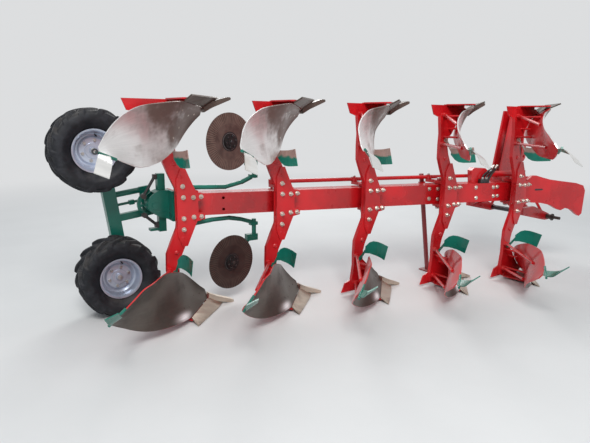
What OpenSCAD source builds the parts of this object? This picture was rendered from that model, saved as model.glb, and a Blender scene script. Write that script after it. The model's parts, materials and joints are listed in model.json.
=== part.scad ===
// A five furrow mounted reversible mouldboard plough with variable working width.
// X points the way it travels, Y to the left and Z up. The origin is on the ground
// under the middle of the whole machine. Right hand bodies hang below the beam, and
// left hand bodies are their mirror image above it.

/* [Layout] */
// Distance from one body to the next along the line of travel
body_pitch = 850; // [780:10:1000]
// Sideways step from one body to the next with the beam swung in
body_step = 235; // [200:5:260]
// Height of the beam axis above the ground
beam_z = 938; // [900:1:980]
// Distance of the turnover axis to the right of the rear body
turnover_right = 300; // [270:5:330]

/* [Beam] */
// Height of the beam section
beam_h = 200; // [180:5:230]
// Depth of the beam section, front face to back face
beam_d = 170; // [150:5:180]
// Wall of the beam section
beam_wall = 12; // [8:1:16]
// Gap from the middle plane of a leg to the front face of the beam
beam_gap = 125; // [120:1:140]
// Distance from the front leg pivot forward to the swing pivot of the beam
swing_ahead = 272; // [240:4:300]
// Diameter of the pins that legs and beam turn on
pivot_d = 50; // [40:1:60]

/* [Legs] */
// Thickness of a leg bar and its frog
shank_t = 36; // [30:1:40]
// Thickness of each of the two bracket plates that hold the leg bars
plate_t = 12; // [10:1:16]
// Thickness of the fork arms above and below the beam
fork_t = 28; // [20:1:34]
// Distance of a leg pivot ahead of the middle of its bracket
pivot_fwd = 100; // [95:1:110]
// Reach of the steering lever behind the leg pivot
lever_reach = 150; // [140:2:170]

/* [Bodies] */
// Thickness of a mouldboard plate
board_t = 9; // [7:1:12]
// Thickness of a share
share_t = 12; // [9:1:14]
// Width of the reversible point
point_w = 62; // [50:1:70]
// Thickness of a landside
landside_t = 12; // [10:1:16]
// Height of the landside's lower edge above the ground
landside_lift = 30; // [15:1:40]
// Length of a landside behind the leg
landside_back = 281; // [250:1:320]
// Length of the longer landside of the rear body
rear_landside_back = 465; // [400:5:500]
// Thickness of a trash board
trash_t = 6; // [4:1:8]

/* [Wheels] */
// Diameter of a tyre over its lugs
tyre_d = 680; // [660:5:700]
// Width of a tyre
tyre_w = 320; // [280:5:330]
// Diameter of the rim flange
rim_d = 352; // [340:2:360]
// Height of a tread lug
lug_h = 22; // [14:1:26]
// Number of lugs on one side of a tyre
lug_count = 14; // [10:1:16]
// Droop of the wheel arm with the lower tyre on the ground
droop = 7.4; // [5:0.1:9]
// Length of the wheel arm from its pivot to the yoke
wheel_arm = 407; // [390:1:430]
// Depth of the wheel yoke's channel
yoke_d = 90; // [70:1:110]
// Distance of the wheels' middle plane to the left of the rear leg
wheel_left = 270; // [250:5:300]

/* [Discs] */
// Diameter of a disc coulter
disc_d = 508; // [460:4:520]
// Thickness of a disc coulter
disc_t = 6; // [5:1:8]
// Angle by which a disc coulter is turned out of the line of travel
disc_turn = 12; // [0:1:12]
// Distance of a disc's centre ahead of its leg
disc_fwd = 455; // [430:5:480]
// Height of a disc's centre above the share plane
disc_h = 382; // [360:1:400]

/* [Headstock] */
// Diameter of the turnover shaft
shaft_d = 120; // [100:2:130]
// Length of the turnover bearing
bearing_l = 260; // [220:5:280]
// Distance between the shoulders of the two lower link pins
link_span = 965; // [825:5:1010]
// Diameter of a lower link pin
lower_pin_d = 36.6; // [28:0.1:38]
// Length of a lower link pin outside its shoulder
lower_pin_l = 90; // [80:1:100]
// Height of the lower link pins above the ground
lower_pin_z = 538; // [500:1:580]
// Diameter of the top link hole
top_hole_d = 32; // [25:0.5:36]
// Height of the lower of the two top link holes over the lower link pins
top_hole_rise = 720; // [680:5:760]
// Height of the mast over the beam axis
mast_top = 880; // [840:5:900]
// Gap between the two mast plates
mast_gap = 84; // [70:2:100]
// Thickness of a mast plate
mast_t = 22; // [16:1:26]

/* [Hidden] */
$fn = 48;

body_count = 5;
// Gap between faces that rest on each other
seat = 0.3;
// Radial play of a pin in its bore
play = 0.05;
// Gap between the beam and the arms that swing over it
over_gap = 7;

beam_angle = atan(body_step / body_pitch);
sa = sin(beam_angle);
ca = cos(beam_angle);
pitch_len = body_pitch / ca;
pivot_c = beam_gap + beam_d / 2;
pivot_back = (pivot_c - pivot_fwd * sa) / ca;
pivot_s = pivot_fwd * ca - pivot_back * sa;
fork_z = beam_h / 2 + over_gap;
bracket_y = shank_t / 2 + plate_t;

// A place on the beam, s along it from the rear body and c back from the leg plane
function beam_point(s, c) = [s * ca + c * sa, -s * sa + c * ca];

// Height over the beam axis of a height h above the ground
function over_ground(h) = h - beam_z;

swing_s = (body_count - 1) * pitch_len + pivot_s + swing_ahead;
swing_p = beam_point(swing_s, pivot_c);
shaft_y = -turnover_right;

// The headstock runs forward from the swing pivot in these steps
frame_x0 = swing_p[0] - 75;
frame_x1 = swing_p[0] + 135;
bearing_x0 = frame_x1 + 30;
bearing_x1 = bearing_x0 + bearing_l;
bearing_r = shaft_d / 2 + 45;
crank_x = bearing_x1 + 12;
crank_t = 25;
cylinder_x = crank_x + crank_t + 40;
cross_x = cylinder_x + 200;
cross_z = over_ground(lower_pin_z);
front_x = cylinder_x + 50;
top_x = front_x + 93;
ear_gap = 52;
ear_t = 22;
crank_r = 110;
cylinder_z = 620;
cylinder_tilt = atan(crank_r / cylinder_z);

// The stand slides in a leaning socket on the back of the beam
stand_s = 2 * pitch_len + 862;
stand_out = 124;
stand_p = beam_point(stand_s, beam_gap + beam_d + stand_out);
stand_lean = 10;

// The wheels hang on an arm that droops until the lower tyre stands on the ground
wheel_pivot = [-180, wheel_left + tyre_w / 2 + 12];
axle_half = (beam_z - tyre_d / 2 - wheel_arm * sin(droop)) / cos(droop);
function wheel_place(up) = [
    wheel_pivot[0] - wheel_arm * cos(droop) + (up ? -1 : 1) * axle_half * sin(droop),
    wheel_left,
    -wheel_arm * sin(droop) + (up ? 1 : -1) * axle_half * cos(droop)
];

// The origin is under the middle of the machine, which ends at a tail plate on its right
tail_out = 1072;
centre_x = ((cross_x + 42) + (wheel_place(true)[0] - tyre_d / 2)) / 2;
centre_y = (wheel_pivot[1] + yoke_d - (body_count - 1) * body_step - tail_out) / 2;

module world() translate([-centre_x, -centre_y, beam_z]) children();

module at_body(i) world() translate([(i - 1) * body_pitch, -(i - 1) * body_step, 0]) children();

module on_beam() world() rotate([0, 0, -beam_angle]) children();

// Both bodies of a pair, the lower one and its mirror image above the beam
module pair() {
    children();
    mirror([0, 0, 1]) children();
}

// A flat plate in the XZ plane from y0 to y1
module side_plate(points, y0, y1)
    translate([0, y1, 0]) rotate([90, 0, 0]) linear_extrude(height = y1 - y0) polygon(points);

// A flat plate in the YZ plane from x0 to x1
module cross_plate(points, x0, x1)
    translate([x0, 0, 0]) rotate([90, 0, 90]) linear_extrude(height = x1 - x0) polygon(points);

// A straight round bar from a to b
module bar(a, b, d) {
    v = b - a;
    l = norm(v);
    translate(a) rotate([0, acos(v[2] / l), atan2(v[1], v[0])]) cylinder(h = l, d = d);
}

// The outline of a strip of width w along a path of points, mitred at its bends
function turn_left(v) = [-v[1], v[0]] / norm(v);
function strip(path, w) =
    let (
        n = len(path) - 1,
        side = [for (k = [0:n])
            let (
                a = turn_left(path[min(k + 1, n)] - path[min(k, n - 1)]),
                b = turn_left(path[max(k, 1)] - path[max(k - 1, 0)])
            ) (a + b) / (1 + a * b)]
    ) concat(
        [for (k = [0:n]) path[k] + side[k] * w / 2],
        [for (k = [n:-1:0]) path[k] - side[k] * w / 2]
    );

// A plate of thickness t behind the grid of points p, rows by columns
function grid_normal(p, i, j) =
    let (
        n = len(p) - 1,
        m = len(p[0]) - 1,
        u = p[min(i + 1, n)][j] - p[max(i - 1, 0)][j],
        v = p[i][min(j + 1, m)] - p[i][max(j - 1, 0)],
        w = cross(u, v)
    ) w / norm(w);

module grid_plate(p, t) {
    n = len(p);
    m = len(p[0]);
    front = [for (i = [0:n - 1]) for (j = [0:m - 1]) p[i][j]];
    back = [for (i = [0:n - 1]) for (j = [0:m - 1]) p[i][j] + t * grid_normal(p, i, j)];
    k = n * m;
    sheet = [for (i = [0:n - 2]) for (j = [0:m - 2])
        let (a = i * m + j, b = a + m) [a, a + 1, b + 1, b]];
    rim = concat(
        [for (j = [0:m - 1]) j],
        [for (i = [1:n - 1]) i * m + m - 1],
        [for (j = [m - 2:-1:0]) (n - 1) * m + j],
        [for (i = [n - 2:-1:1]) i * m]
    );
    r = len(rim);
    polyhedron(
        points = concat(front, back),
        faces = concat(
            [for (q = sheet) for (f = [[q[0], q[2], q[1]], [q[0], q[3], q[2]]]) f],
            [for (q = sheet) for (f = [[q[0], q[1], q[2]], [q[0], q[2], q[3]]]) [f[0] + k, f[1] + k, f[2] + k]],
            [for (a = [0:r - 1]) let (b = (a + 1) % r) for (f = [
                [rim[a], rim[b], rim[b] + k], [rim[a], rim[b] + k, rim[a] + k]
            ]) f]
        ),
        convexity = 4
    );
}

// Mouldboard sections square to the line of travel, from the point back to the tail:
// place ahead of the leg, side and height of the lower edge, the same of the upper edge,
// and how far the middle of the section is hollowed back
BOARD = [
    [190, -39, 97, 24, 156, 6],
    [145, -86, 90, 22, 195, 14],
    [60, -172, 76, 2, 280, 30],
    [-20, -252, 63, -62, 355, 44],
    [-70, -303, 57, -120, 395, 52],
    [-135, -352, 59, -203, 433, 60],
    [-215, -402, 65, -292, 468, 66],
    [-300, -446, 75, -386, 497, 70],
    [-385, -480, 85, -496, 507, 70],
    [-470, -507, 101, -604, 509, 66],
    [-560, -547, 136, -680, 501, 56],
    [-640, -594, 183, -745, 469, 42],
    [-720, -668, 246, -800, 432, 24],
    [-790, -768, 312, -838, 401, 8],
    [-828, -826, 352, -856, 392, 2]
];
BOARD_ROWS = 7;

function board_point(row, t) = [
    row[0],
    row[1] + (row[3] - row[1]) * t + row[5] * 4 * t * (1 - t),
    over_ground(row[2] + (row[4] - row[2]) * t)
];

module headstock_frame() color("#b5121b") world() {
    difference() {
        union() {
            translate([bearing_x0, shaft_y, 0]) rotate([0, 90, 0]) cylinder(h = bearing_l, r = bearing_r);
            for (side = [-1, 1]) for (x = [bearing_x0 + 30, bearing_x1 - 55])
                translate([0, shaft_y, 0]) cross_plate([
                    [side * 20, -60], [side * 95, -30], [side * 165, -110],
                    [side * (link_span / 2 - 70), cross_z + 70], [side * (link_span / 2 - 130), cross_z + 70],
                    [side * 80, -190], [side * 20, -150]
                ], x, x + 25);
            for (side = [-1, 1]) translate([0, shaft_y + side * (link_span / 2 - 95), 0])
                side_plate([
                    [bearing_x0 + 20, cross_z + 150], [bearing_x1 - 20, cross_z + 150],
                    [cross_x + 42, cross_z + 30], [cross_x + 42, cross_z - 42],
                    [cross_x - 50, cross_z - 42], [bearing_x0 + 20, cross_z + 60]
                ], -20, 20);
        }
        translate([bearing_x0 - 1, shaft_y, 0]) rotate([0, 90, 0])
            cylinder(h = bearing_l + 2, d = shaft_d + 2 * play);
        translate([cross_x, shaft_y - link_span, cross_z]) rotate([-90, 0, 0])
            cylinder(h = 2 * link_span, d = 60 + 2 * play);
    }
}

// A mast plate stands on the bearing tube and reaches forward over the turnover cylinder
module mast_plate(side) color("#c2141c") world() difference() {
    translate([0, shaft_y + side * (mast_gap + mast_t) / 2, 0]) side_plate([
        [bearing_x0 + 5, 60], [bearing_x0 + 5, 188], [bearing_x0 + 133, mast_top],
        [front_x - seat, mast_top], [front_x - seat, cylinder_z + 45],
        [cylinder_x - 80, cylinder_z + 20], [bearing_x1 - 20, 60]
    ], -mast_t / 2, mast_t / 2);
    translate([bearing_x0 - 50, shaft_y, 0]) rotate([0, 90, 0])
        cylinder(h = bearing_l + 100, r = bearing_r + seat);
}

// The front plate with the top link ears, its two struts and the pin of the turnover cylinder
module top_link_bracket() color("#b5121b") world() {
    hole_z = cross_z + top_hole_rise;
    difference() {
        union() {
            translate([0, shaft_y, 0]) cross_plate([
                [-75, mast_top], [75, mast_top], [75, hole_z - 150], [-75, hole_z - 150]
            ], front_x, front_x + 24);
            for (side = [-1, 1]) {
                translate([0, shaft_y + side * (ear_gap + ear_t) / 2, 0]) side_plate([
                    [front_x + 20, hole_z - 80], [front_x + 105, hole_z - 60], [front_x + 135, hole_z - 20],
                    [front_x + 135, hole_z + 110], [front_x + 105, hole_z + 150], [front_x + 20, hole_z + 160]
                ], -ear_t / 2, ear_t / 2);
                bar([front_x + 12, shaft_y + side * 50, hole_z - 130],
                    [cross_x - 40, shaft_y + side * (link_span / 2 - 130.3), cross_z + 55], 34);
            }
        }
        for (rise = [0, 90]) translate([top_x, shaft_y - 100, hole_z + rise]) rotate([-90, 0, 0])
            cylinder(h = 200, d = top_hole_d);
    }
    translate([0, shaft_y, 0]) cross_plate([
        [seat - mast_gap / 2, cylinder_z - 32], [mast_gap / 2 - seat, cylinder_z - 32],
        [mast_gap / 2 - seat, cylinder_z + 80], [seat - mast_gap / 2, cylinder_z + 80]
    ], cylinder_x - 52, cylinder_x - 28);
    translate([0, shaft_y, cylinder_z]) rotate([0, 90, 0]) {
        translate([0, 0, cylinder_x - 60]) cylinder(h = front_x - cylinder_x + 65, d = 30);
        translate([0, 0, cylinder_x + 27]) cylinder(h = front_x - cylinder_x - 26, d = 54);
    }
}

module cross_shaft() color("#4a4c4f") world() translate([cross_x, shaft_y, cross_z]) rotate([-90, 0, 0]) {
    translate([0, 0, -link_span / 2]) cylinder(h = link_span, d = 60);
    translate([0, 0, -link_span / 2 - lower_pin_l]) cylinder(h = link_span + 2 * lower_pin_l, d = lower_pin_d);
    for (side = [-1, 1]) translate([0, 0, side * (link_span / 2 - 6) - 6]) cylinder(h = 12, d = 84);
}

// The cylinder hangs in the mast and its rod's eye rests before the pin on the swing frame
module turnover_cylinder() color("#b5121b") world()
    translate([cylinder_x, shaft_y, cylinder_z]) rotate([180 - cylinder_tilt, 0, 0]) {
        reach = norm([crank_r, cylinder_z]);
        difference() {
            union() {
                rotate([0, 90, 0]) translate([0, 0, -24]) cylinder(h = 48, d = 70);
                cylinder(h = 60, d = 44);
                translate([0, 0, 48]) cylinder(h = 330, d = 88);
                translate([0, 0, 375]) cylinder(h = 18, d = 96);
            }
            rotate([0, 90, 0]) translate([0, 0, -40]) cylinder(h = 80, d = 30 + 2 * play);
        }
        translate([0, 0, 385]) cylinder(h = reach - 385, d = 40);
        translate([0, 0, reach]) rotate([0, 90, 0]) translate([0, 0, -25]) cylinder(h = 50, d = 74);
    }

module turnover_shaft() color("#5a5c60") world() translate([0, shaft_y, 0]) {
    rotate([0, 90, 0]) translate([0, 0, frame_x1 + seat])
        cylinder(h = crank_x - frame_x1 - seat + 1, d = shaft_d);
    difference() {
        cross_plate([
            [-crank_r - 37, -45], [-crank_r - 37, 45], [0, 78], [78, 40], [78, -40], [0, -78]
        ], crank_x, crank_x + crank_t);
    }
    translate([crank_x, -crank_r, 0]) rotate([0, 90, 0]) cylinder(h = crank_t + 10, d = 30);
}

module swing_frame() color("#b5121b") world() {
    for (z = [-fork_z - fork_t, fork_z]) translate([0, 0, z]) linear_extrude(height = fork_t) hull() {
        translate(swing_p) circle(r = 80);
        translate([frame_x0, swing_p[1] + 150]) square([frame_x1 - frame_x0, 60]);
    }
    difference() {
        cross_plate([
            [swing_p[1] + 150, -fork_z - fork_t], [swing_p[1] + 150, fork_z + fork_t],
            [shaft_y - 60, 115], [shaft_y + 60, 100], [shaft_y + 90, 40],
            [shaft_y + 90, -40], [shaft_y + 60, -100], [shaft_y - 60, -115]
        ], frame_x0, frame_x1);
        cross_plate([
            [swing_p[1] + 149, -fork_z], [swing_p[1] + 149, fork_z], [shaft_y - 66, 88], [shaft_y - 66, -88]
        ], frame_x0 + 24, frame_x1 - 24);
    }
    translate([swing_p[0], swing_p[1], -fork_z - fork_t - 14])
        cylinder(h = 2 * (fork_z + fork_t + 14), d = pivot_d + 20);
    translate(concat(beam_point(swing_s - 60, pivot_c), [fork_z + fork_t - 1])) cylinder(h = 86, d = 38);
}

module main_beam() color("#c2141c") on_beam() difference() {
    union() {
        difference() {
            translate([pivot_s - 75, beam_gap, -beam_h / 2])
                cube([swing_s + 95 - pivot_s + 75, beam_d, beam_h]);
            translate([pivot_s - 60, beam_gap + beam_wall, -beam_h / 2 + beam_wall])
                cube([swing_s + 95 - pivot_s + 45, beam_d - 2 * beam_wall, beam_h - 2 * beam_wall]);
        }
        for (i = [0:body_count - 1]) translate([i * pitch_len + pivot_s, pivot_c, -fork_z + seat])
            cylinder(h = 2 * (fork_z - seat), d = pivot_d + 32);
        translate([swing_s, pivot_c, -fork_z + seat]) cylinder(h = 2 * (fork_z - seat), d = pivot_d + 60);
    }
    for (i = [0:body_count - 1]) translate([i * pitch_len + pivot_s, pivot_c, -beam_h])
        cylinder(h = 2 * beam_h, d = pivot_d + 2 * play);
    translate([swing_s, pivot_c, -beam_h]) cylinder(h = 2 * beam_h, d = pivot_d + 20 + 2 * play);
    for (z = [-52, 52]) translate([373, beam_gap - 1, z]) rotate([-90, 0, 0]) cylinder(h = beam_wall + 2, d = 26);
}

// The curved arm that carries the beam's front end forward past the headstock
module front_lever() color("#b5121b") on_beam() translate([swing_s, 0, 0]) side_plate([
    [-130, 78], [-100, 130], [-50, 168], [10, 172], [90, 150], [200, 124], [365, 100], [588, 72], [700, 40],
    [735, -20], [725, -290], [690, -318], [655, -300], [560, -236], [470, -214], [405, -238], [345, -218],
    [250, -170], [110, -140], [-26, -130], [-130, -78]
], beam_gap - 40 - seat, beam_gap - seat);

// The ram that swings the beam lies on its top and pushes against a post on the swing frame
module swing_ram() color("#a8141b") on_beam() {
    z = fork_z + fork_t + 54;
    head = swing_s - 60 - 19 - 6;
    side_plate([
        [swing_s - 760, beam_h / 2 + seat], [swing_s - 775, 235], [swing_s - 740, 262], [swing_s - 600, 256],
        [swing_s - 545, 215], [swing_s - 560, beam_h / 2 + seat]
    ], pivot_c - 25, pivot_c + 45);
    translate([swing_s - 570, pivot_c, z]) rotate([0, 90, 0]) cylinder(h = head - 110 - swing_s + 570, d = 64);
    translate([head - 125, pivot_c, z]) rotate([0, 90, 0]) cylinder(h = 22, d = 72);
    translate([head - 110, pivot_c, z]) rotate([0, 90, 0]) cylinder(h = 110, d = 34);
    translate([head - 28, pivot_c, z]) rotate([0, 90, 0]) cylinder(h = 28, d = 52);
}

// One rod over the beam joins legs 2 to 5, and one behind the beam joins legs 1 and 2
module link_rod() color("#c2141c") on_beam() {
    c = pivot_c + lever_reach * ca;
    s = pivot_s - lever_reach * sa;
    z0 = fork_z + fork_t + seat;
    difference() {
        union() {
            translate([s + pitch_len, c, z0 + 22]) rotate([0, 90, 0])
                cylinder(h = (body_count - 2) * pitch_len, d = 40);
            for (i = [1:body_count - 1]) translate([s + i * pitch_len, c, z0]) cylinder(h = 44, d = 64);
            translate([s, c, 22]) rotate([0, 90, 0]) cylinder(h = pitch_len, d = 40);
            for (i = [0, 1]) translate([s + i * pitch_len, c, 0]) cylinder(h = 44, d = 64);
        }
        for (i = [0:body_count - 1]) translate([s + i * pitch_len, c, -50]) cylinder(h = 300, d = 24 + 2 * play);
    }
}

// Along the leaning tube of the stand, from its middle on the beam down to its foot
module stand_axis() world() translate([stand_p[0], stand_p[1], 0]) rotate([0, -stand_lean, 0]) children();

module stand_socket() color("#b5121b") {
    difference() {
        union() {
            stand_axis() translate([0, 0, -150]) cylinder(h = 250, d = 76);
            on_beam() translate([stand_s - 60, beam_gap + beam_d + seat, -70]) cube([120, stand_out - 30, 140]);
        }
        stand_axis() translate([0, 0, -400]) cylinder(h = 800, d = 50 + 2 * play);
    }
}

module parking_stand() color("#7c1418") {
    foot = (beam_z - 14) / cos(stand_lean);
    stand_axis() translate([0, 0, -foot]) cylinder(h = foot + 190, d = 50);
    world() translate([stand_p[0] + beam_z * tan(stand_lean) - 75, stand_p[1] - 60, -beam_z]) cube([150, 120, 14]);
}

// A valve block on the beam with four short hoses that lean forward into a holder
module hose_rack() color("#26282b") on_beam() {
    s = swing_s - 640;
    c = pivot_c - 52;
    top = beam_h / 2 + seat;
    translate([s - 45, c - 28, top]) cube([110, 52, 42]);
    for (k = [0:3]) bar([s - 20 + 24 * k, c - 14 + 22 * (k % 2), top + 36],
        [s + 112 + 24 * k, c - 14 + 22 * (k % 2), top + 190], 18);
    side_plate([
        [s + 40, top], [s + 64, top], [s + 176, top + 152], [s + 184, top + 180], [s + 96, top + 180],
        [s + 92, top + 150], [s + 140, top + 150]
    ], c - 7, c + 1);
}

module leg(i) color("#c2141c") at_body(i) {
    outline = [
        [-62, 0], [-62, 248], [-22, 338], [22, 338], [52, 268], [116, 126], [190, 114], [190, 62], [128, 52],
        [128, -52], [190, -62], [190, -114], [116, -126], [52, -268], [22, -338], [-22, -338], [-62, -248]
    ];
    rear = (i == 1) ? -38 : pivot_fwd - 55;
    side_plate(outline, -bracket_y, -shank_t / 2);
    side_plate(outline, shank_t / 2, bracket_y);
    translate([-55, -shank_t / 2, -110]) cube([110, shank_t, 220]);
    translate([pivot_fwd - 55, bracket_y - 1, -fork_z - fork_t]) cube([110, 21, 2 * (fork_z + fork_t)]);
    for (z = [-fork_z - fork_t, fork_z]) {
        translate([rear, bracket_y - 1, z]) cube([pivot_fwd + 55 - rear, pivot_back - bracket_y + 1, fork_t]);
        translate([pivot_fwd, pivot_back, z]) cylinder(h = fork_t, r = 55);
    }
    if (i == 1) translate([rear, 95, -fork_z - fork_t]) cube([18, pivot_back + 10, 2 * (fork_z + fork_t)]);
    translate([pivot_fwd - 30, pivot_back, fork_z]) cube([60, lever_reach, fork_t]);
    translate([pivot_fwd, pivot_back + lever_reach, fork_z]) cylinder(h = fork_t, r = 30);
    translate([pivot_fwd, pivot_back, -fork_z - fork_t - 16]) cylinder(h = 2 * (fork_z + fork_t + 16), d = pivot_d);
    pin_low = (i <= 2) ? -seat - 8 : fork_z;
    pin_high = (i == 1) ? fork_z + fork_t : fork_z + fork_t + 50;
    translate([pivot_fwd, pivot_back + lever_reach, 0]) {
        translate([0, 0, pin_low]) cylinder(h = pin_high - pin_low, d = 24);
        if (i <= 2) translate([0, 0, -seat - 8]) cylinder(h = 8, d = 44);
    }
}

// Plan of the share's cutting edge from the point out to the wing
SHARE = [[345, -20], [262, -116], [146, -224], [30, -331], [-48, -402]];
SHARE_LOW = 12;

// The share's upper edge lies just under the mouldboard's lower edge
function share_top(k) =
    let (b = board_point(BOARD[k], 0), a = [SHARE[k][0], SHARE[k][1], over_ground(SHARE_LOW)]) b + 0.045 * (a - b);

// How far a share's support reaches out under it
function under_share(k, f) = SHARE[k] + f * ([share_top(k)[0], share_top(k)[1]] - SHARE[k]);

// The two leg bars with frog, share support and landside, held between the bracket plates
module shanks(i) color("#c2141c") at_body(i) pair() {
    back = (i == 1) ? rear_landside_back : landside_back;
    low = over_ground(landside_lift);
    side_plate([
        [-62, -112], [58, -112], [36, -262], [6, -335], [-38, -430], [-57, -500],
        [-59, over_ground(352)], [-10, over_ground(306)], [48, over_ground(218)], [130, over_ground(126)],
        [188, over_ground(98)], [200.9, over_ground(93)], [199.7, over_ground(82)], [168, over_ground(54)],
        [-176, over_ground(54)], [-186, over_ground(156)], [-166, over_ground(306)],
        [-170, over_ground(408)], [-166, over_ground(546)], [-124, -289], [-72, -175]
    ], -shank_t / 2, shank_t / 2);
    side_plate([
        [-back, low], [199, low], [199, over_ground(106)], [60, over_ground(184)],
        [-60, over_ground(184)], [-back + 38, low + 92]
    ], shank_t / 2, shank_t / 2 + landside_t);
    translate([0, 0, over_ground(22.4)]) linear_extrude(height = 12) polygon([
        [165, 1 - shank_t / 2], under_share(1, 0.56), under_share(2, 0.64), under_share(3, 0.82),
        under_share(4, 0.94),
        [-85, -285], [-120, 1 - shank_t / 2]
    ]);
    translate([-110, -shank_t / 2, over_ground(25)]) cube([250, shank_t + 2, 30]);
}

// The board's front face at a place and height, and the part between its edges
function board_row(x) = [x, for (k = [1:5]) lookup(-x, [for (r = BOARD) [-r[0], r[k]]])];
function board_y(x, h) = let (r = board_row(x)) board_point(r, (h - r[2]) / (r[4] - r[2]))[1];

// The tail plate reaches out from the board's upper edge beyond its tail
TAIL = [
    [[-826, -848, 386], [-768, -826, 408]],
    [[-866, -952, 405], [-789, -965, 446]],
    [[-914, -1050, 486], [-834, -1072, 521]]
];

module mouldboards(i) color("#b9bcc0") at_body(i) pair() {
    grid_plate([for (row = BOARD) [for (j = [0:BOARD_ROWS - 1]) board_point(row, j / (BOARD_ROWS - 1))]], board_t);
    for (lug = [[-60, 256], [-120, 136], [-130, 336]]) {
        y = board_y(lug[0], lug[1]) + 11.8;
        translate([lug[0], y, over_ground(lug[1])]) rotate([-90, 0, 0])
            cylinder(h = -shank_t / 2 - seat - y, d = 20);
    }
    for (stay = [[-150, 126, -540, 206], [-150, 404, -600, 404]]) {
        translate([stay[0], -shank_t / 2 - seat - 32, over_ground(stay[1])]) rotate([-90, 0, 0])
            cylinder(h = 32, d = 46);
        bar([stay[0], -shank_t / 2 - seat - 20, over_ground(stay[1])],
            [stay[2], board_y(stay[2], stay[3]) + 17, over_ground(stay[3])], 26);
    }
    grid_plate([for (r = TAIL) [for (q = r) [q[0], q[1], over_ground(q[2])]]], 8);
    bar([-866, -930, over_ground(404)], [-700, -800 + 10, over_ground(436)], 16);
    translate([-866, -930, over_ground(404)]) sphere(d = 34);
}

module shares(i) color("#8d8a86") at_body(i) pair() {
    grid_plate([for (k = [0:4]) [[SHARE[k][0], SHARE[k][1], over_ground(SHARE_LOW)], share_top(k)]], share_t);
    side_plate([
        [205, over_ground(132)], [281, over_ground(91)], [452, over_ground(22)], [456, over_ground(10)],
        [448, over_ground(0)], [420, over_ground(0)], [279, over_ground(40)], [200, over_ground(76)]
    ], -point_w / 2 - 4, point_w / 2 - 4);
}

module trash_boards(i) color("#127a4f") at_body(i) pair() {
    // Each row is the place ahead of the leg, then side and height of the lower and of the upper corner
    rows = [
        [-98, -100, 438, -100, 506], [-86, -146, 445, -144, 553], [-78, -186, 443, -186, 573],
        [-70, -234, 439, -236, 576], [-66, -286, 431, -292, 571], [-70, -336, 422, -376, 561]
    ];
    face = -shank_t / 2 - seat;
    foot = over_ground(372);
    grid_plate([for (r = rows) [[r[0], r[1], over_ground(r[2])], [r[0], r[3], over_ground(r[4])]]], trash_t);
    translate([-98, face - 14, foot]) rotate([-90, 0, 0]) cylinder(h = 14, d = 46);
    bar([-98, face - 12, foot], [-95, -106, over_ground(474)], 22);
}

// The casting behind the rear leg that the wheel arm's shaft turns in
module rear_bracket() color("#0f6b45") world() {
    x0 = -38 - seat;
    half = fork_z + fork_t - 2;
    cheek = [
        [x0 - 10, half], [x0 - 10, -half], [-152, -98], [-215, -50], [-242, 8], [-226, 76], [-180, 116], [-140, half]
    ];
    difference() {
        union() {
            translate([x0 - 20, 95, -half]) cube([20, 205, 2 * half]);
            side_plate(cheek, 190, 206);
            side_plate(cheek, 300, 316);
            side_plate([
                [x0 - 10, half], [x0 - 10, half - 16], [-136, half - 16], [-170, 102], [-180, 116], [-140, half]
            ], 205, 301);
            translate([wheel_pivot[0], 190, 0]) rotate([-90, 0, 0]) cylinder(h = 126, r = 62);
            translate([-142, 222, -240]) cube([66, 60, 518]);
            translate([-222, 222, -228]) cube([81, 60, 22]);
        }
        translate([wheel_pivot[0], 180, 0]) rotate([-90, 0, 0]) cylinder(h = 150, r = 30 + play);
    }
}

// Two stop screws that set how far the wheel arm may swing
module adjusting_screws() color("#2b2d30") world() for (side = [-1, 1]) {
    top = (side > 0) ? 250 : 178;
    translate([-142 - seat - 30, 232, side * top - 22]) cube([30, 40, 44]);
    bar([-262, 252, side * 84], [-158, 252, side * top], 26);
    translate([-262, 252, side * 84]) rotate([-90, 0, 0]) cylinder(h = 44, d = 44, center = true);
}

// A round tube bent in the XZ plane at side y, drawn a little thinner on every other stretch
module bent_tube(path, y, d) {
    for (k = [0:len(path) - 2]) let (on = 6 * (path[k + 1] - path[k]) / norm(path[k + 1] - path[k]))
        bar([path[k][0] - on[0], y, path[k][1] - on[1]], [path[k + 1][0] + on[0], y, path[k + 1][1] + on[1]],
            d - 2 * (k % 2));
}

// The two tubes ahead of the rear leg whose trailing arms carry the disc coulters
module disc_arms() color("#0f6b45") world() {
    z = -over_ground(disc_h);
    y = bracket_y + 46;
    bent_tube([[8, 167], [439, 143], [610, 178], [704, 216]], y, 42);
    bent_tube([[742, 215], [742, 350]], y, 42);
    bent_tube([[14, -176], [300, -150], [473, -150], [592, -174], [705, -212]], y, 42);
    bent_tube([[735, -190], [735, -352]], y, 42);
    for (up = [212, -244]) translate([690, y - 24, up]) cube([76, 48, 32]);
    for (side = [-1, 1]) {
        translate([648, y - 26, side * 361 - 31]) cube([116, 52, 62]);
        bar([690, y, side * 372], [disc_fwd - y * sin(disc_turn), y * cos(disc_turn), side * z], 38);
        side_plate([[5, side * 142], [5, side * 205], [78, side * 205], [104, side * 142]], bracket_y + seat, y - 8);
        translate([disc_fwd, 0, side * z]) rotate([-90, 0, disc_turn]) {
            translate([0, 0, y - 24]) cylinder(h = 46, d = 72);
            translate([0, 0, -14]) cylinder(h = y, d = 40);
        }
    }
}

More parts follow.
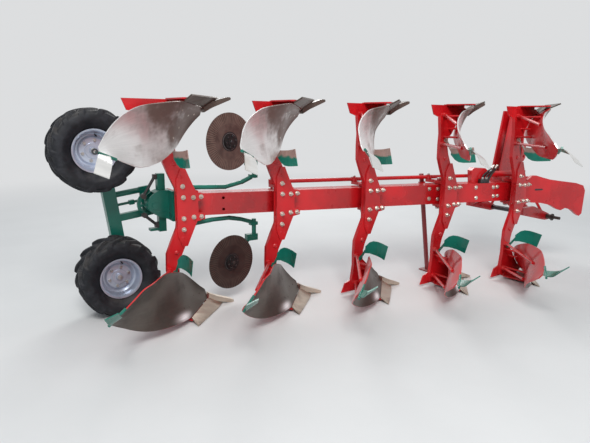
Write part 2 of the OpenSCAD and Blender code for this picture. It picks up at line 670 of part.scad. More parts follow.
// The arm swings about a shaft in the rear bracket and ends in a yoke for the two wheels
module wheel_arms() color("#0f6b45") world() translate([wheel_pivot[0], 0, 0]) rotate([0, -droop, 0]) {
    y0 = wheel_pivot[1];
    mid = 100 - wheel_arm;
    yoke = [
        [-wheel_arm, -axle_half - 52], [-wheel_arm, -axle_half + 50], [mid, -290],
        [mid, 290], [-wheel_arm, axle_half - 50], [-wheel_arm, axle_half + 52]
    ];
    hollow = [
        [-wheel_arm, -axle_half - 40], [-wheel_arm, -axle_half + 50], [mid, -290],
        [mid, 290], [-wheel_arm, axle_half - 50], [-wheel_arm, axle_half + 40]
    ];
    difference() {
        side_plate(strip(yoke, 110), y0, y0 + yoke_d);
        side_plate(strip(hollow, 86), y0 + 12, y0 + yoke_d + 1);
    }
    translate([0, 184, 0]) rotate([-90, 0, 0]) cylinder(h = y0 + 60 - 184, d = 60);
    difference() {
        translate([0, 322, 0]) rotate([-90, 0, 0]) cylinder(h = 22, r = 118);
        translate([0, 321, 0]) rotate([-90, 0, 0]) difference() {
            cylinder(h = 24, r = 88);
            translate([0, 0, -1]) cylinder(h = 26, r = 46);
            translate([-100, -11, -1]) cube([100, 22, 26]);
        }
        translate([-40, 321, -130]) cube([170, 24, 84]);
        translate([-40, 321, 46]) cube([170, 24, 84]);
        translate([46, 321, -60]) cube([100, 24, 120]);
    }
    side_plate([
        [-44, -128], [-44, 146], [45, 146], [62, 45], [62, -45], [45, -128]
    ], y0 + 8, y0 + 38);
    bar([28, y0 + 33, 116], [mid - 40, y0 + 33, 116], 52);
    translate([mid - 40, y0 + 8, -126]) cube([-mid + 10, 50, 62]);
    bar([-30, y0 + 30, 22], [mid - 30, y0 + 30, 22], 24);
    translate([-150, y0 + 10, 2]) cube([46, 40, 40]);
    for (side = [-1, 1]) translate([-wheel_arm, wheel_left - 18, side * axle_half]) rotate([-90, 0, 0])
        cylinder(h = y0 + 6 - wheel_left + 18, d = 50);
}

// Half the width between the tyre's beads, where it sits in the rim
bead = 0.325 * tyre_w;

// One tyre about the Y axis. Each lug pitch takes six columns, and the left and right
// lugs stand half a pitch apart. Rows are place across the width, radius and lug height.
module tyre() {
    r = tyre_d / 2;
    seat_r = rim_d / 2;
    rows = [
        [-(bead - 6.4) / tyre_w, seat_r - 12.7, 0, 0], [-bead / tyre_w, seat_r + 1.5, 0, 0], [-0.45, r * 0.64, 0, 0],
        [-0.5, r * 0.77, 0, 0], [-0.485, r * 0.88, 0.25, 1], [-0.44, r - lug_h - 4, 0.8, 1],
        [-0.24, r - lug_h, 1, 1], [-0.03, r - lug_h, 1, 1], [0.03, r - lug_h, 1, -1],
        [0.24, r - lug_h, 1, -1], [0.44, r - lug_h - 4, 0.8, -1], [0.485, r * 0.88, 0.25, -1],
        [0.5, r * 0.77, 0, 0], [0.45, r * 0.64, 0, 0], [bead / tyre_w, seat_r + 1.5, 0, 0],
        [(bead - 6.4) / tyre_w, seat_r - 12.7, 0, 0]
    ];
    m = 6 * lug_count;
    n = len(rows);
    lean = 360 / lug_count * 1.1;
    points = [for (row = rows) for (k = [0:m - 1])
        let (
            on = row[3] == 1 ? (k % 6 < 2 ? 1 : 0) : row[3] == -1 ? (k % 6 == 3 || k % 6 == 4 ? 1 : 0) : 0,
            a = 360 * k / m + lean * abs(row[0]) * 2,
            q = row[1] + on * row[2] * lug_h
        ) [q * cos(a), row[0] * tyre_w, q * sin(a)]];
    polyhedron(
        points = points,
        faces = [for (i = [0:n - 1]) for (k = [0:m - 1])
            let (
                a = i * m + k,
                b = i * m + (k + 1) % m,
                c = ((i + 1) % n) * m + (k + 1) % m,
                d = ((i + 1) % n) * m + k
            )
            for (f = [[a, b, c], [a, c, d]]) f],
        convexity = 6
    );
}

// A dished disc wheel about the Y axis, its hub bored for the axle from the left
module rim() {
    r = rim_d / 2;
    rotate([90, 0, 0]) rotate_extrude($fn = 72) polygon([
        [0, 62], [26, 62], [30, 56], [30, 44], [62, 44], [64, 36], [r - 72, 34], [r - 56, 22], [r - 44, 20],
        [r - 33, 30], [r - 30, bead - 42], [r - 22, bead - 4], [r - 13, bead + 9], [r, bead + 12],
        [r, bead + 4], [r - 8, bead], [r - 16, bead - 10], [r - 24, bead - 44], [r - 26, 0],
        [r - 24, 44 - bead], [r - 16, 10 - bead], [r - 8, -bead], [r, -bead - 4], [r, -bead - 12],
        [r - 13, -bead - 9], [r - 22, 4 - bead], [r - 30, 42 - bead], [r - 33, 14], [r - 44, 10], [r - 58, 12],
        [r - 74, 26],
        [62, 28], [58, -40], [25 + play, -40], [25 + play, 20], [0, 20]
    ]);
}

module place_wheel(up) world() translate(wheel_place(up)) children();

module disc_coulter(up) color("#6b4a38") world()
    translate([disc_fwd, 0, (up ? -1 : 1) * over_ground(disc_h)]) rotate([90, 0, disc_turn]) difference() {
        union() {
            translate([0, 0, -disc_t / 2]) cylinder(h = disc_t, d = disc_d, $fn = 96);
            translate([0, 0, -20]) cylinder(h = 42, d = 128);
            translate([0, 0, 18]) cylinder(h = 14, d = 74);
        }
        translate([0, 0, -21]) cylinder(h = 36, d = 40 + 2 * play);
    }

headstock_frame();
mast_plate(1);  // mast_left
mast_plate(-1);  // mast_right
top_link_bracket();
cross_shaft();
turnover_cylinder();
turnover_shaft();
swing_frame();
main_beam();
front_lever();
swing_ram();
link_rod();
stand_socket();
parking_stand();
hose_rack();
leg(1);  // leg_1
leg(2);  // leg_2
leg(3);  // leg_3
leg(4);  // leg_4
leg(5);  // leg_5
shanks(1);  // shanks_1
shanks(2);  // shanks_2
shanks(3);  // shanks_3
shanks(4);  // shanks_4
shanks(5);  // shanks_5
mouldboards(1);  // mouldboards_1
mouldboards(2);  // mouldboards_2
mouldboards(3);  // mouldboards_3
mouldboards(4);  // mouldboards_4
mouldboards(5);  // mouldboards_5
shares(1);  // shares_1
shares(2);  // shares_2
shares(3);  // shares_3
shares(4);  // shares_4
shares(5);  // shares_5
trash_boards(1);  // trash_boards_1
trash_boards(2);  // trash_boards_2
trash_boards(3);  // trash_boards_3
trash_boards(4);  // trash_boards_4
trash_boards(5);  // trash_boards_5
rear_bracket();
adjusting_screws();
disc_arms();
wheel_arms();
color("#1c1d20") place_wheel(false) tyre();  // tyre_lower
color("#1c1d20") place_wheel(true) tyre();  // tyre_upper
color("#b4b7ba") place_wheel(false) rim();  // rim_lower
color("#b4b7ba") place_wheel(true) rim();  // rim_upper
disc_coulter(false);  // disc_lower
disc_coulter(true);  // disc_upper
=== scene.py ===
# %% [markdown]
# # A reversible mouldboard plough
# The plough stands in its yard on its share points, its lower wheel and its parking stand. Its solids come
# from the CAD model, which is loaded first and never moved. This lesson adds what a solid doesn't say:
# smooth rolled boards, paint, scoured steel, rubber, rust, bolts and hoses, and then light and a camera.

# %% Load the frame
import json
import math
import bpy
import numpy as np
from mathutils import Matrix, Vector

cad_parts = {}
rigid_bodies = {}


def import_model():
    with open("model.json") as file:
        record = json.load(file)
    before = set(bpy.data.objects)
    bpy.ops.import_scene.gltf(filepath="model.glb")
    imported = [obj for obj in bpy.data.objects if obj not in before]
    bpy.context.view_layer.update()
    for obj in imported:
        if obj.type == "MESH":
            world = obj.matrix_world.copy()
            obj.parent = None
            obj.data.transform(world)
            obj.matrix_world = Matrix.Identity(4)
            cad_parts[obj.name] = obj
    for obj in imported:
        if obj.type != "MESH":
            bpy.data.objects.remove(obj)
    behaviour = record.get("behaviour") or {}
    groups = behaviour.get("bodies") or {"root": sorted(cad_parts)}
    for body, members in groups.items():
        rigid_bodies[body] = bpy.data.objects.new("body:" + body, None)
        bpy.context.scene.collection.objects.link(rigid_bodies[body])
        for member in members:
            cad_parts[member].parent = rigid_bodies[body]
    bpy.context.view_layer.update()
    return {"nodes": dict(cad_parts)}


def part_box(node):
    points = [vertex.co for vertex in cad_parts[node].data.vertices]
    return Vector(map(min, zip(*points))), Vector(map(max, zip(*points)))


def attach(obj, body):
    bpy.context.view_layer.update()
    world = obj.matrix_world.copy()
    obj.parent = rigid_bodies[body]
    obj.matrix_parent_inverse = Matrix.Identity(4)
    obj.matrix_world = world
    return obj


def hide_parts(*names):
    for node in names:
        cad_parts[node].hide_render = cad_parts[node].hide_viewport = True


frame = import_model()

# %% [markdown]
# ## Where things are
# The drawing of a plough is made from the rear leg: x ahead of it, y to its left and z over the beam's axis,
# in millimetres. The model stands on the ground under its own middle, in metres. One small function goes
# from one to the other, so that every bolt below can be given by the numbers of the drawing. A second one
# does the same for a place given along the beam, which runs askew.

# %% Places on the drawing
BODIES = range(1, 6)
BEAM_RISE = 938.0
CENTRE = np.array([1755.85, -740.0, -BEAM_RISE])
BODY_PITCH, BODY_STEP = 850.0, 235.0
BEAM_ANGLE = math.atan2(BODY_STEP, BODY_PITCH)
SA, CA = math.sin(BEAM_ANGLE), math.cos(BEAM_ANGLE)
PIVOT_FWD, PIVOT_C = 100.0, 210.0
PIVOT_BACK = (PIVOT_C - PIVOT_FWD * SA) / CA
SWING_S = 4 * BODY_PITCH / CA + PIVOT_FWD * CA - PIVOT_BACK * SA + 272.0
DISC_FWD, DISC_RISE, DISC_TURN = 455.0, 556.0, math.radians(12.0)
LEG_SIDE, BRACKET_SIDE = -18.3, -30.0
TO_CAMERA_SIDE = (0, -1, 0)


def row(points, body=1):
    """Each point minus the drawing's centre, moved on by one body spacing per body, over a thousand."""
    shift = (body - 1) * np.array([BODY_PITCH, -BODY_STEP, 0.0])
    return (np.asarray(points, float) + shift - CENTRE) / 1000.0


def on_beam(s, c, z):
    """A place s along the beam and c back from the line of the legs, turned by the beam's angle about Z."""
    s, c, z = np.broadcast_arrays(np.asarray(s, float), np.asarray(c, float), np.asarray(z, float))
    return np.stack([s * CA + c * SA, -s * SA + c * CA, z], -1)


disc_low, disc_high = ([DISC_FWD, 0, rise] for rise in (-DISC_RISE, DISC_RISE))
low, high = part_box("disc_lower")
print("disc centre in the model:", np.mean([low, high], 0).round(4), "by the drawing:", row(disc_low))

# %% [markdown]
# ## The camera
# The picture was taken from eye height, behind and to the right of the plough, with a phone's wide lens. The
# camera's place and its three angles were found once by matching the drawing's beam, legs and wheels with
# their places in the picture, so here they are plain numbers. A camera looks along its own minus Z, so
# the columns of its matrix are right, up and back.

# %% Camera
def put(name, data, columns=np.eye(3), place=(0, 0, 0)):
    """Puts data into the scene as an object at a place, with its own X, Y and Z along three columns."""
    obj = bpy.data.objects.new(name, data)
    bpy.context.scene.collection.objects.link(obj)
    m = np.eye(4)
    m[:3, :3], m[:3, 3] = columns, place
    obj.matrix_world = Matrix(m.tolist())
    return obj


yaw, pitch, roll = 0.987, 0.207, 0.011
EYE = row([-1505.0, -4035.0, 770.0])
FOCAL, PICTURE_WIDTH, SENSOR = 494.0, 590.0, 36.0
ahead = np.array([math.cos(pitch) * math.cos(yaw), math.cos(pitch) * math.sin(yaw), -math.sin(pitch)])
level = np.array([math.sin(yaw), -math.cos(yaw), 0.0])
upright = np.cross(level, ahead)
right = level * math.cos(roll) + upright * math.sin(roll)
up = upright * math.cos(roll) - level * math.sin(roll)
cam_data = bpy.data.cameras.new("yard_camera")
cam_data.sensor_width = SENSOR
cam_data.lens = FOCAL / PICTURE_WIDTH * SENSOR
cam_data.clip_end = 200.0
bpy.context.scene.camera = put("yard_camera", cam_data, np.stack([right, up, -ahead], 1), EYE)
print("camera stands at", EYE.round(3), "lens", round(cam_data.lens, 2))

# %% [markdown]
# ## Shapes from numbers
# Every new piece is a surface with a formula. A few helpers are enough for a plough: a sheet with a
# thickness, a profile turned about a line, and a round section carried along a path. Each gives back points
# and faces as arrays, and `outward` tells whether the faces look away from the metal.

# %% Helpers for shapes
def outward(points, faces):
    """Sums place dot area over the faces. It grows with the volume held, and is negative if they face in."""
    a, b, c = points[faces[:, 0]], points[faces[:, 1]], points[faces[:, 2]]
    volume = np.einsum("ij,ij->", a, np.cross(b, c))
    if faces.shape[1] == 4:
        volume += np.einsum("ij,ij->", a, np.cross(c, points[faces[:, 3]]))
    return volume


def looped(grid):
    """A grid of points whose last row joins its first, and its last column too, like the skin of a tyre."""
    n, m = grid.shape[:2]
    i, j = np.meshgrid(np.arange(n), np.arange(m), indexing="ij")
    right, below = (j + 1) % m, ((i + 1) % n) * m
    corners = i * m + j, i * m + right, below + right, below + j
    faces = np.stack([c.ravel() for c in corners], 1)
    points = grid.reshape(-1, 3)
    return points, faces if outward(points, faces) > 0 else faces[:, ::-1]


def capped(rings, foot, tip):
    """A stack of rings of points joined into a skin, with a fan of triangles round one point at each end."""
    n, m = rings.shape[:2]
    points = np.concatenate([rings.reshape(-1, 3), [foot, tip]])
    i, j = np.meshgrid(np.arange(n - 1), np.arange(m), indexing="ij")
    p, q = (i * m + j).ravel(), (i * m + (j + 1) % m).ravel()
    quads = np.stack([p, q, q + m, p + m], 1)
    k, top = np.arange(m), (n - 1) * m
    after = (k + 1) % m
    fans = np.concatenate([np.stack([after, k, np.full(m, n * m)], 1),
                           np.stack([top + k, top + after, np.full(m, n * m + 1)], 1)])
    if outward(points, quads) + outward(points, fans) < 0:
        quads, fans = quads[:, ::-1], fans[:, ::-1]
    return points, quads, fans


def sheet(front, thickness):
    """A grid of points, and the same grid moved along its normals by the thickness, joined round the rim.

    The normal is the cross product of the grid's two directions, found from neighbouring points. The faces
    come back with a number that says which side they are: 0 front, 1 back and 2 rim.
    """
    n, m = front.shape[:2]
    normal = np.cross(np.gradient(front, axis=0), np.gradient(front, axis=1))
    normal /= np.maximum(np.linalg.norm(normal, axis=2, keepdims=True), 1e-12)
    back = front + normal * thickness
    points = np.concatenate([front.reshape(-1, 3), back.reshape(-1, 3)])
    i, j = np.meshgrid(np.arange(n - 1), np.arange(m - 1), indexing="ij")
    a = (i * m + j).ravel()
    b = a + m
    quads = np.stack([a, a + 1, b + 1, b], 1)
    rim = np.concatenate([np.arange(m), np.arange(1, n) * m + m - 1,
                          (n - 1) * m + np.arange(m - 2, -1, -1), np.arange(n - 2, 0, -1) * m])
    after = np.roll(rim, -1)
    k = n * m
    faces = np.concatenate([quads, quads[:, ::-1] + k, np.stack([rim, rim + k, after + k, after], 1)])
    side = np.repeat([0, 1, 2], [len(quads), len(quads), len(rim)])
    if outward(points, faces) < 0:
        faces = faces[:, ::-1]
    return points, faces, side


def frame_on(axis):
    """Two directions square to an axis and to each other, then the axis, as the columns of a matrix."""
    axis = np.asarray(axis, float) / np.linalg.norm(axis)
    u = np.cross([0.0, 0.0, 1.0] if abs(axis[2]) < 0.9 else [1.0, 0.0, 0.0], axis)
    u /= np.linalg.norm(u)
    return np.stack([u, np.cross(axis, u), axis], 1)


def even_angles(count, first=0.0):
    """Angles in even steps round a circle, from the first one on."""
    return 2 * np.pi * np.arange(count) / count + first


def about_z(profile, sides):
    """Each (radius, height) of a profile turned about Z: the points (r cos a, r sin a, h)."""
    a = even_angles(sides)
    r, h = profile[:, :1], profile[:, 1:]
    return np.stack([r * np.cos(a), r * np.sin(a), np.repeat(h, sides, 1)], 2)


def turned(profile, sides=32):
    """A profile turned about Z, in metres. Its first and last points lie on the axis and close the ends."""
    profile = np.asarray(profile, float)
    return capped(about_z(profile[1:-1], sides), [0, 0, profile[0, 1]], [0, 0, profile[-1, 1]])


def pipe(path, radius, sides=16):
    """A circle carried along a path: at each point, the centre plus radius times (u cos a + v sin a).

    The directions u and v are square to the path, and both are found from one fixed helper direction.
    """
    path = np.asarray(path, float)
    along = np.gradient(path, axis=0)
    along /= np.linalg.norm(along, axis=1, keepdims=True)
    upright = abs(along[:, 2]).mean() >= 0.8
    u = np.cross([0.93, 0.31, 0.17] if upright else [0.31, -0.17, 0.93], along)
    u /= np.linalg.norm(u, axis=1, keepdims=True)
    v = np.cross(along, u)
    a = even_angles(sides)[:, None]
    rings = path[:, None] + radius * (u[:, None] * np.cos(a) + v[:, None] * np.sin(a))
    return capped(rings, path[0], path[-1])


def curve(knots, count):
    """A smooth path through a few points: between each two of them, the blend of both and of their slopes."""
    knots = np.asarray(knots, float)
    t = np.concatenate([[0.0], np.cumsum(np.linalg.norm(np.diff(knots, axis=0), axis=1))])
    return smooth(t, knots, np.linspace(0, t[-1], count))


def smooth(at_rows, values, at):
    """Through the rows of a table. With f the way from one row to the next, the value and slope of both rows
    are weighted by 2f3-3f2+1, f3-2f2+f, 3f2-2f3 and f3-f2."""
    slope = np.gradient(values, at_rows, axis=0)
    k = np.clip(np.searchsorted(at_rows, at, side="right") - 1, 0, len(at_rows) - 2)
    h = (at_rows[k + 1] - at_rows[k])[:, None]
    f = (at - at_rows[k])[:, None] / h
    return ((2 * f**3 - 3 * f**2 + 1) * values[k] + (f**3 - 2 * f**2 + f) * h * slope[k]
            + (3 * f**2 - 2 * f**3) * values[k + 1] + (f**3 - f**2) * h * slope[k + 1])


# %% [markdown]
# A piece is often many small parts of one metal, such as all the bolts of a leg. `Gather` keeps adding such
# parts to one list of points and faces, and `make` turns the list into one mesh that rides on a body. Bolt
# heads and washers are sunk by two millimetres, so that no gap shows under them.

# %% Helpers for pieces
class Gather:
    """Points, faces and material numbers of a piece that is being put together."""

    def __init__(self):
        self.points, self.faces, self.skin, self.uv, self.count = [], [], [], [], 0

    def add(self, part, skin=0, uv=None):
        """Adds a part, which is its points and then its faces, counted on from the points already there."""
        points, *faces = part
        for f in faces:
            self.faces += (f + self.count).tolist()
            self.skin.append(np.broadcast_to(skin, len(f)))
            self.uv.append(np.zeros((f.size, 2)) if uv is None else uv[f.ravel()])
        self.points.append(points)
        self.count += len(points)
        return self

    def at(self, part, places, axis, skin=0):
        """Adds a copy of a part that stands on Z at each place, with its Z along the axis."""
        points, *faces = part
        places = np.asarray(places, float).reshape(-1, 3)
        moved = points @ frame_on(axis).T + places[:, None]
        step = (np.arange(len(places)) * len(points))[:, None, None]
        self.add([moved.reshape(-1, 3)] + [(f + step).reshape(-1, f.shape[1]) for f in faces], skin)


def make(name, parts, body, materials, smooth_angle=35.0):
    """One mesh object from a Gather, smooth where neighbouring faces meet at less than the given angle."""
    mesh = bpy.data.meshes.new(name)
    mesh.from_pydata(np.concatenate(parts.points).tolist(), [], parts.faces)
    for m in materials:
        mesh.materials.append(m)
    mesh.polygons.foreach_set("material_index", np.concatenate(parts.skin).astype(np.int32))
    layer = mesh.uv_layers.new(name="flow")
    layer.data.foreach_set("uv", np.concatenate(parts.uv).astype(np.float32).ravel())
    mesh.shade_smooth()
    mesh.set_sharp_from_angle(angle=math.radians(smooth_angle))
    mesh.update()
    obj = put(name, mesh)
    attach(obj, body)
    return obj


SINK = 0.002


def bolt(flat, height):
    """A hexagon head, in millimetres across its flats, with its upper corners cut off."""
    r, h = flat / math.sqrt(3) / 1000.0, height / 1000.0
    return turned([(0, -SINK), (r, -SINK), (r, h * 0.82), (r * 0.86, h), (0, h)], 6)


def slug(radius, height, bevel=0.8, sides=24):
    """A round slug, such as a washer or a stub, in millimetres, with its upper rim broken by a bevel."""
    r, h, b = radius / 1000.0, height / 1000.0, bevel / 1000.0
    return turned([(0, -SINK), (r, -SINK), (r, h - b), (r - b, h), (0, h)], sides)


# %% [markdown]
# ## Effects that several finishes share
# Paint chips, dust that settles on level faces, and the fine scratches of soil are each one shader group,
# built once. A group only gives out masks and values; the shader itself stays in the material.

# %% Shader groups
def group(name, inputs, outputs):
    """An empty shader group with named inputs and named number outputs."""
    tree = bpy.data.node_groups.new(name, "ShaderNodeTree")
    for label, kind, value in inputs:
        s = tree.interface.new_socket(name=label, in_out="INPUT", socket_type=kind)
        if value is not None:
            s.default_value = value
    for label in outputs:
        tree.interface.new_socket(name=label, in_out="OUTPUT", socket_type="NodeSocketFloat")
    return tree, tree.nodes.new("NodeGroupInput"), tree.nodes.new("NodeGroupOutput")


def feed(tree, made, sockets):
    """Gives each named or numbered socket of a node a plain value or a link from another node."""
    for key, source in sockets.items():
        if isinstance(source, bpy.types.NodeSocket):
            tree.links.new(source, made.inputs[key])
        else:
            made.inputs[key].default_value = source


def node(tree, kind, sockets=None, **properties):
    """Adds a node, sets its properties and then feeds its sockets."""
    made = tree.nodes.new(kind)
    for key, value in properties.items():
        setattr(made, key, value)
    feed(tree, made, sockets or {})
    return made


def ramp(tree, source, a, b, low=0.0, high=1.0):
    """Maps a value that runs from a to b onto low to high, with soft ends."""
    ends = {"Value": source, "From Min": a, "From Max": b, "To Min": low, "To Max": high}
    return node(tree, "ShaderNodeMapRange", ends, interpolation_type="SMOOTHSTEP").outputs["Result"]


def times(tree, a, b, operation="MULTIPLY"):
    """One arithmetic step on two sources, either of which may be a plain number."""
    return node(tree, "ShaderNodeMath", {0: a, 1: b}, operation=operation).outputs[0]


def vector_step(tree, operation, *sources):
    """One step on vectors, any of which may be plain."""
    return node(tree, "ShaderNodeVectorMath", dict(enumerate(sources)), operation=operation).outputs


def length(tree, vector):
    """How long a vector is."""
    return vector_step(tree, "LENGTH", vector)["Value"]


def noise(tree, vector, scale, detail=4.0, rough=0.55):
    """Cloudy noise of the given scale."""
    cloudy = {"Vector": vector, "Scale": scale, "Detail": detail, "Roughness": rough}
    return node(tree, "ShaderNodeTexNoise", cloudy).outputs["Fac"]


NUMBER, VECTOR = "NodeSocketFloat", "NodeSocketVector"
chips, g_in, g_out = group("paint_chips", [("Scale", NUMBER, 20.0), ("Amount", NUMBER, 0.3)],
                           ["Chipped", "Shade", "Height"])
coords = node(chips, "ShaderNodeTexCoord").outputs["Object"]
broad = noise(chips, coords, 3.1, 3.0)
fine = noise(chips, coords, g_in.outputs["Scale"], 6.0, 0.7)
level_of = times(chips, times(chips, fine, 0.7), times(chips, broad, 0.3), "ADD")
edge = times(chips, 0.80, times(chips, g_in.outputs["Amount"], 0.25), "SUBTRACT")
over = times(chips, times(chips, level_of, edge, "SUBTRACT"), 26.0)
mask = node(chips, "ShaderNodeClamp", {"Value": over}).outputs[0]
relief = times(chips, times(chips, fine, 0.25), mask, "SUBTRACT")
feed(chips, g_out, {"Chipped": mask, "Shade": broad, "Height": relief})

dust, g_in, g_out = group("settled_dust", [("Amount", NUMBER, 0.4)], ["Dust"])
tex = node(dust, "ShaderNodeTexCoord")
facing = node(dust, "ShaderNodeSeparateXYZ", {"Vector": tex.outputs["Normal"]}).outputs["Z"]
flat_top = ramp(dust, facing, 0.25, 0.95, 0.12, 1.0)
cloud = ramp(dust, noise(dust, tex.outputs["Object"], 9.0, 5.0, 0.65), 0.36, 0.66)
feed(dust, g_out, {"Dust": times(dust, times(dust, flat_top, cloud), g_in.outputs["Amount"])})

scour, g_in, g_out = group("soil_scour", [("Vector", VECTOR, None), ("Stretch", NUMBER, 24.0)],
                           ["Streak", "Patch", "Height"])
squeeze = node(scour, "ShaderNodeCombineXYZ", {0: 1.2, 1: g_in.outputs["Stretch"], 2: 1.0}).outputs[0]
drawn = vector_step(scour, "MULTIPLY", g_in.outputs["Vector"], squeeze)[0]
streak = noise(scour, drawn, 3.0, 6.0, 0.62)
patch = noise(scour, g_in.outputs["Vector"], 2.4, 4.0, 0.6)
feed(scour, g_out, {"Streak": streak, "Patch": patch, "Height": times(scour, streak, 0.5)})
print("shader groups:", [g.name for g in bpy.data.node_groups])

# %% [markdown]
# ## Paint
# The plough's red is a smooth factory coat: deep, glossy, with a clear layer of its own. Farm paint is never
# one colour. It is a little darker where it was sprayed thin, chipped to bare grey here and there, and dulled
# by dust wherever a face looks up. So the same recipe makes all the painted finishes, red, green, dark red
# and silver, with their own amounts of chips and dust. Soil rubs the upper trash boards bare next to the
# mouldboard, so their green ends at a height.

# %% Painted finishes
DUST_COLOUR = (0.33, 0.27, 0.21, 1.0)
CHIPPED_TO = (0.2, 0.18, 0.17, 1.0)
RUBBED_TO = (0.34, 0.225, 0.195, 1.0)
THIN = 0.72


def material(name):
    """A new node material with its Principled shader."""
    m = bpy.data.materials.new(name)
    m.use_nodes = True
    return m, m.node_tree, m.node_tree.nodes["Principled BSDF"]


def opaque(colour, factor=1.0):
    """A red, green and blue times a factor, as a colour with its alpha of one."""
    return (*[c * factor for c in colour], 1.0)


def blend_colour(tree, mask, a, b):
    """Colour a where the mask is 0 and b where it is 1. Either may be a plain colour or a source."""
    return node(tree, "ShaderNodeMix", {"Factor": mask, 6: a, 7: b}, data_type="RGBA").outputs[2]


def height_of(tree, vector):
    """The Z of a vector."""
    return node(tree, "ShaderNodeSeparateXYZ", {"Vector": vector}).outputs["Z"]


def bump(tree, height, strength, distance):
    """A Bump node fed by a height."""
    relief = {"Height": height, "Strength": strength, "Distance": distance}
    return node(tree, "ShaderNodeBump", relief).outputs[0]


def shared(tree, inner, sockets):
    """The outputs of a shader group, with its sockets fed."""
    return node(tree, "ShaderNodeGroup", node_tree=inner, sockets=sockets).outputs


def paint(name, colour, chip=0.3, dirt=0.35, metal=0.0, rough=0.28, coat=0.5, rubbed=None):
    """Paint with a darker shade in broad clouds, chips down to the bare metal and dust on what faces up.

    Above the height rubbed, in metres, give or take a few centimetres, the soil has rubbed the paint off.
    """
    m, tree, shader = material(name)
    worn = shared(tree, chips, {"Scale": 28.0, "Amount": chip})
    settled = shared(tree, dust, {"Amount": dirt})["Dust"]
    shade = ramp(tree, worn["Shade"], 0.35, 0.65)
    base = blend_colour(tree, shade, opaque(colour, THIN), opaque(colour))
    base = blend_colour(tree, worn["Chipped"], base, CHIPPED_TO)
    if rubbed:
        place = node(tree, "ShaderNodeTexCoord").outputs["Object"]
        wavy = times(tree, height_of(tree, place), times(tree, noise(tree, place, 9.0, 3.0), 0.08), "ADD")
        base = blend_colour(tree, ramp(tree, wavy, rubbed + 0.03, rubbed + 0.05), base, RUBBED_TO)
    base = blend_colour(tree, settled, base, DUST_COLOUR)
    dull = times(tree, ramp(tree, worn["Shade"], 0.3, 0.7, rough * 0.8, rough * 1.25),
                 times(tree, settled, 0.45), "ADD")
    feed(tree, shader, {"Base Color": base, "Roughness": dull, "Metallic": metal, "Coat Weight": coat,
                        "Coat Roughness": 0.12, "Normal": bump(tree, worn["Height"], 0.25, 0.0006)})
    return m


RED = paint("red_coat", (0.60, 0.006, 0.011), dirt=0.10, coat=0.3)
RED_WORN = paint("red_coat_worn", (0.60, 0.007, 0.012), chip=0.55, dirt=0.14, rough=0.32, coat=0.25)
DARK_RED = paint("dark_red_coat", (0.28, 0.016, 0.022), chip=0.5, dirt=0.5, rough=0.4)
GREEN = paint("green_coat", (0.001, 0.160, 0.112), chip=0.3, dirt=0.07, rough=0.3, coat=0.15)
GREEN_RUBBED = paint("green_coat_rubbed", (0.001, 0.185, 0.130), chip=0.35, dirt=0.05, rough=0.3, coat=0.1,
                     rubbed=1.38)
SILVER = paint("silver_coat", (0.52, 0.575, 0.68), chip=0.15, dirt=0.08, metal=0.6, rough=0.30, coat=0.3)

# %% [markdown]
# ## Steel
# Earth sands a mouldboard every day it works, so its front is bright, streaked along the way the soil slides.
# When it then stands in a damp yard, a thin brown film grows in clouds. The streaks follow the board's own
# map, which runs from the share to the tail, and the film is a second colour behind a cloudy mask. The lower
# boards, which worked last, are darker but for one painted highlight: a bright patch painted into their
# colour near the share, where the sky's reflection shows. Bolts, rods and pins are plain steel, a little
# darker.

# %% Steel finishes
# The colour of the painted highlight on the lower boards.
PAINTED_HIGHLIGHT_COLOUR = (1.0, 0.98, 0.99, 1.0)


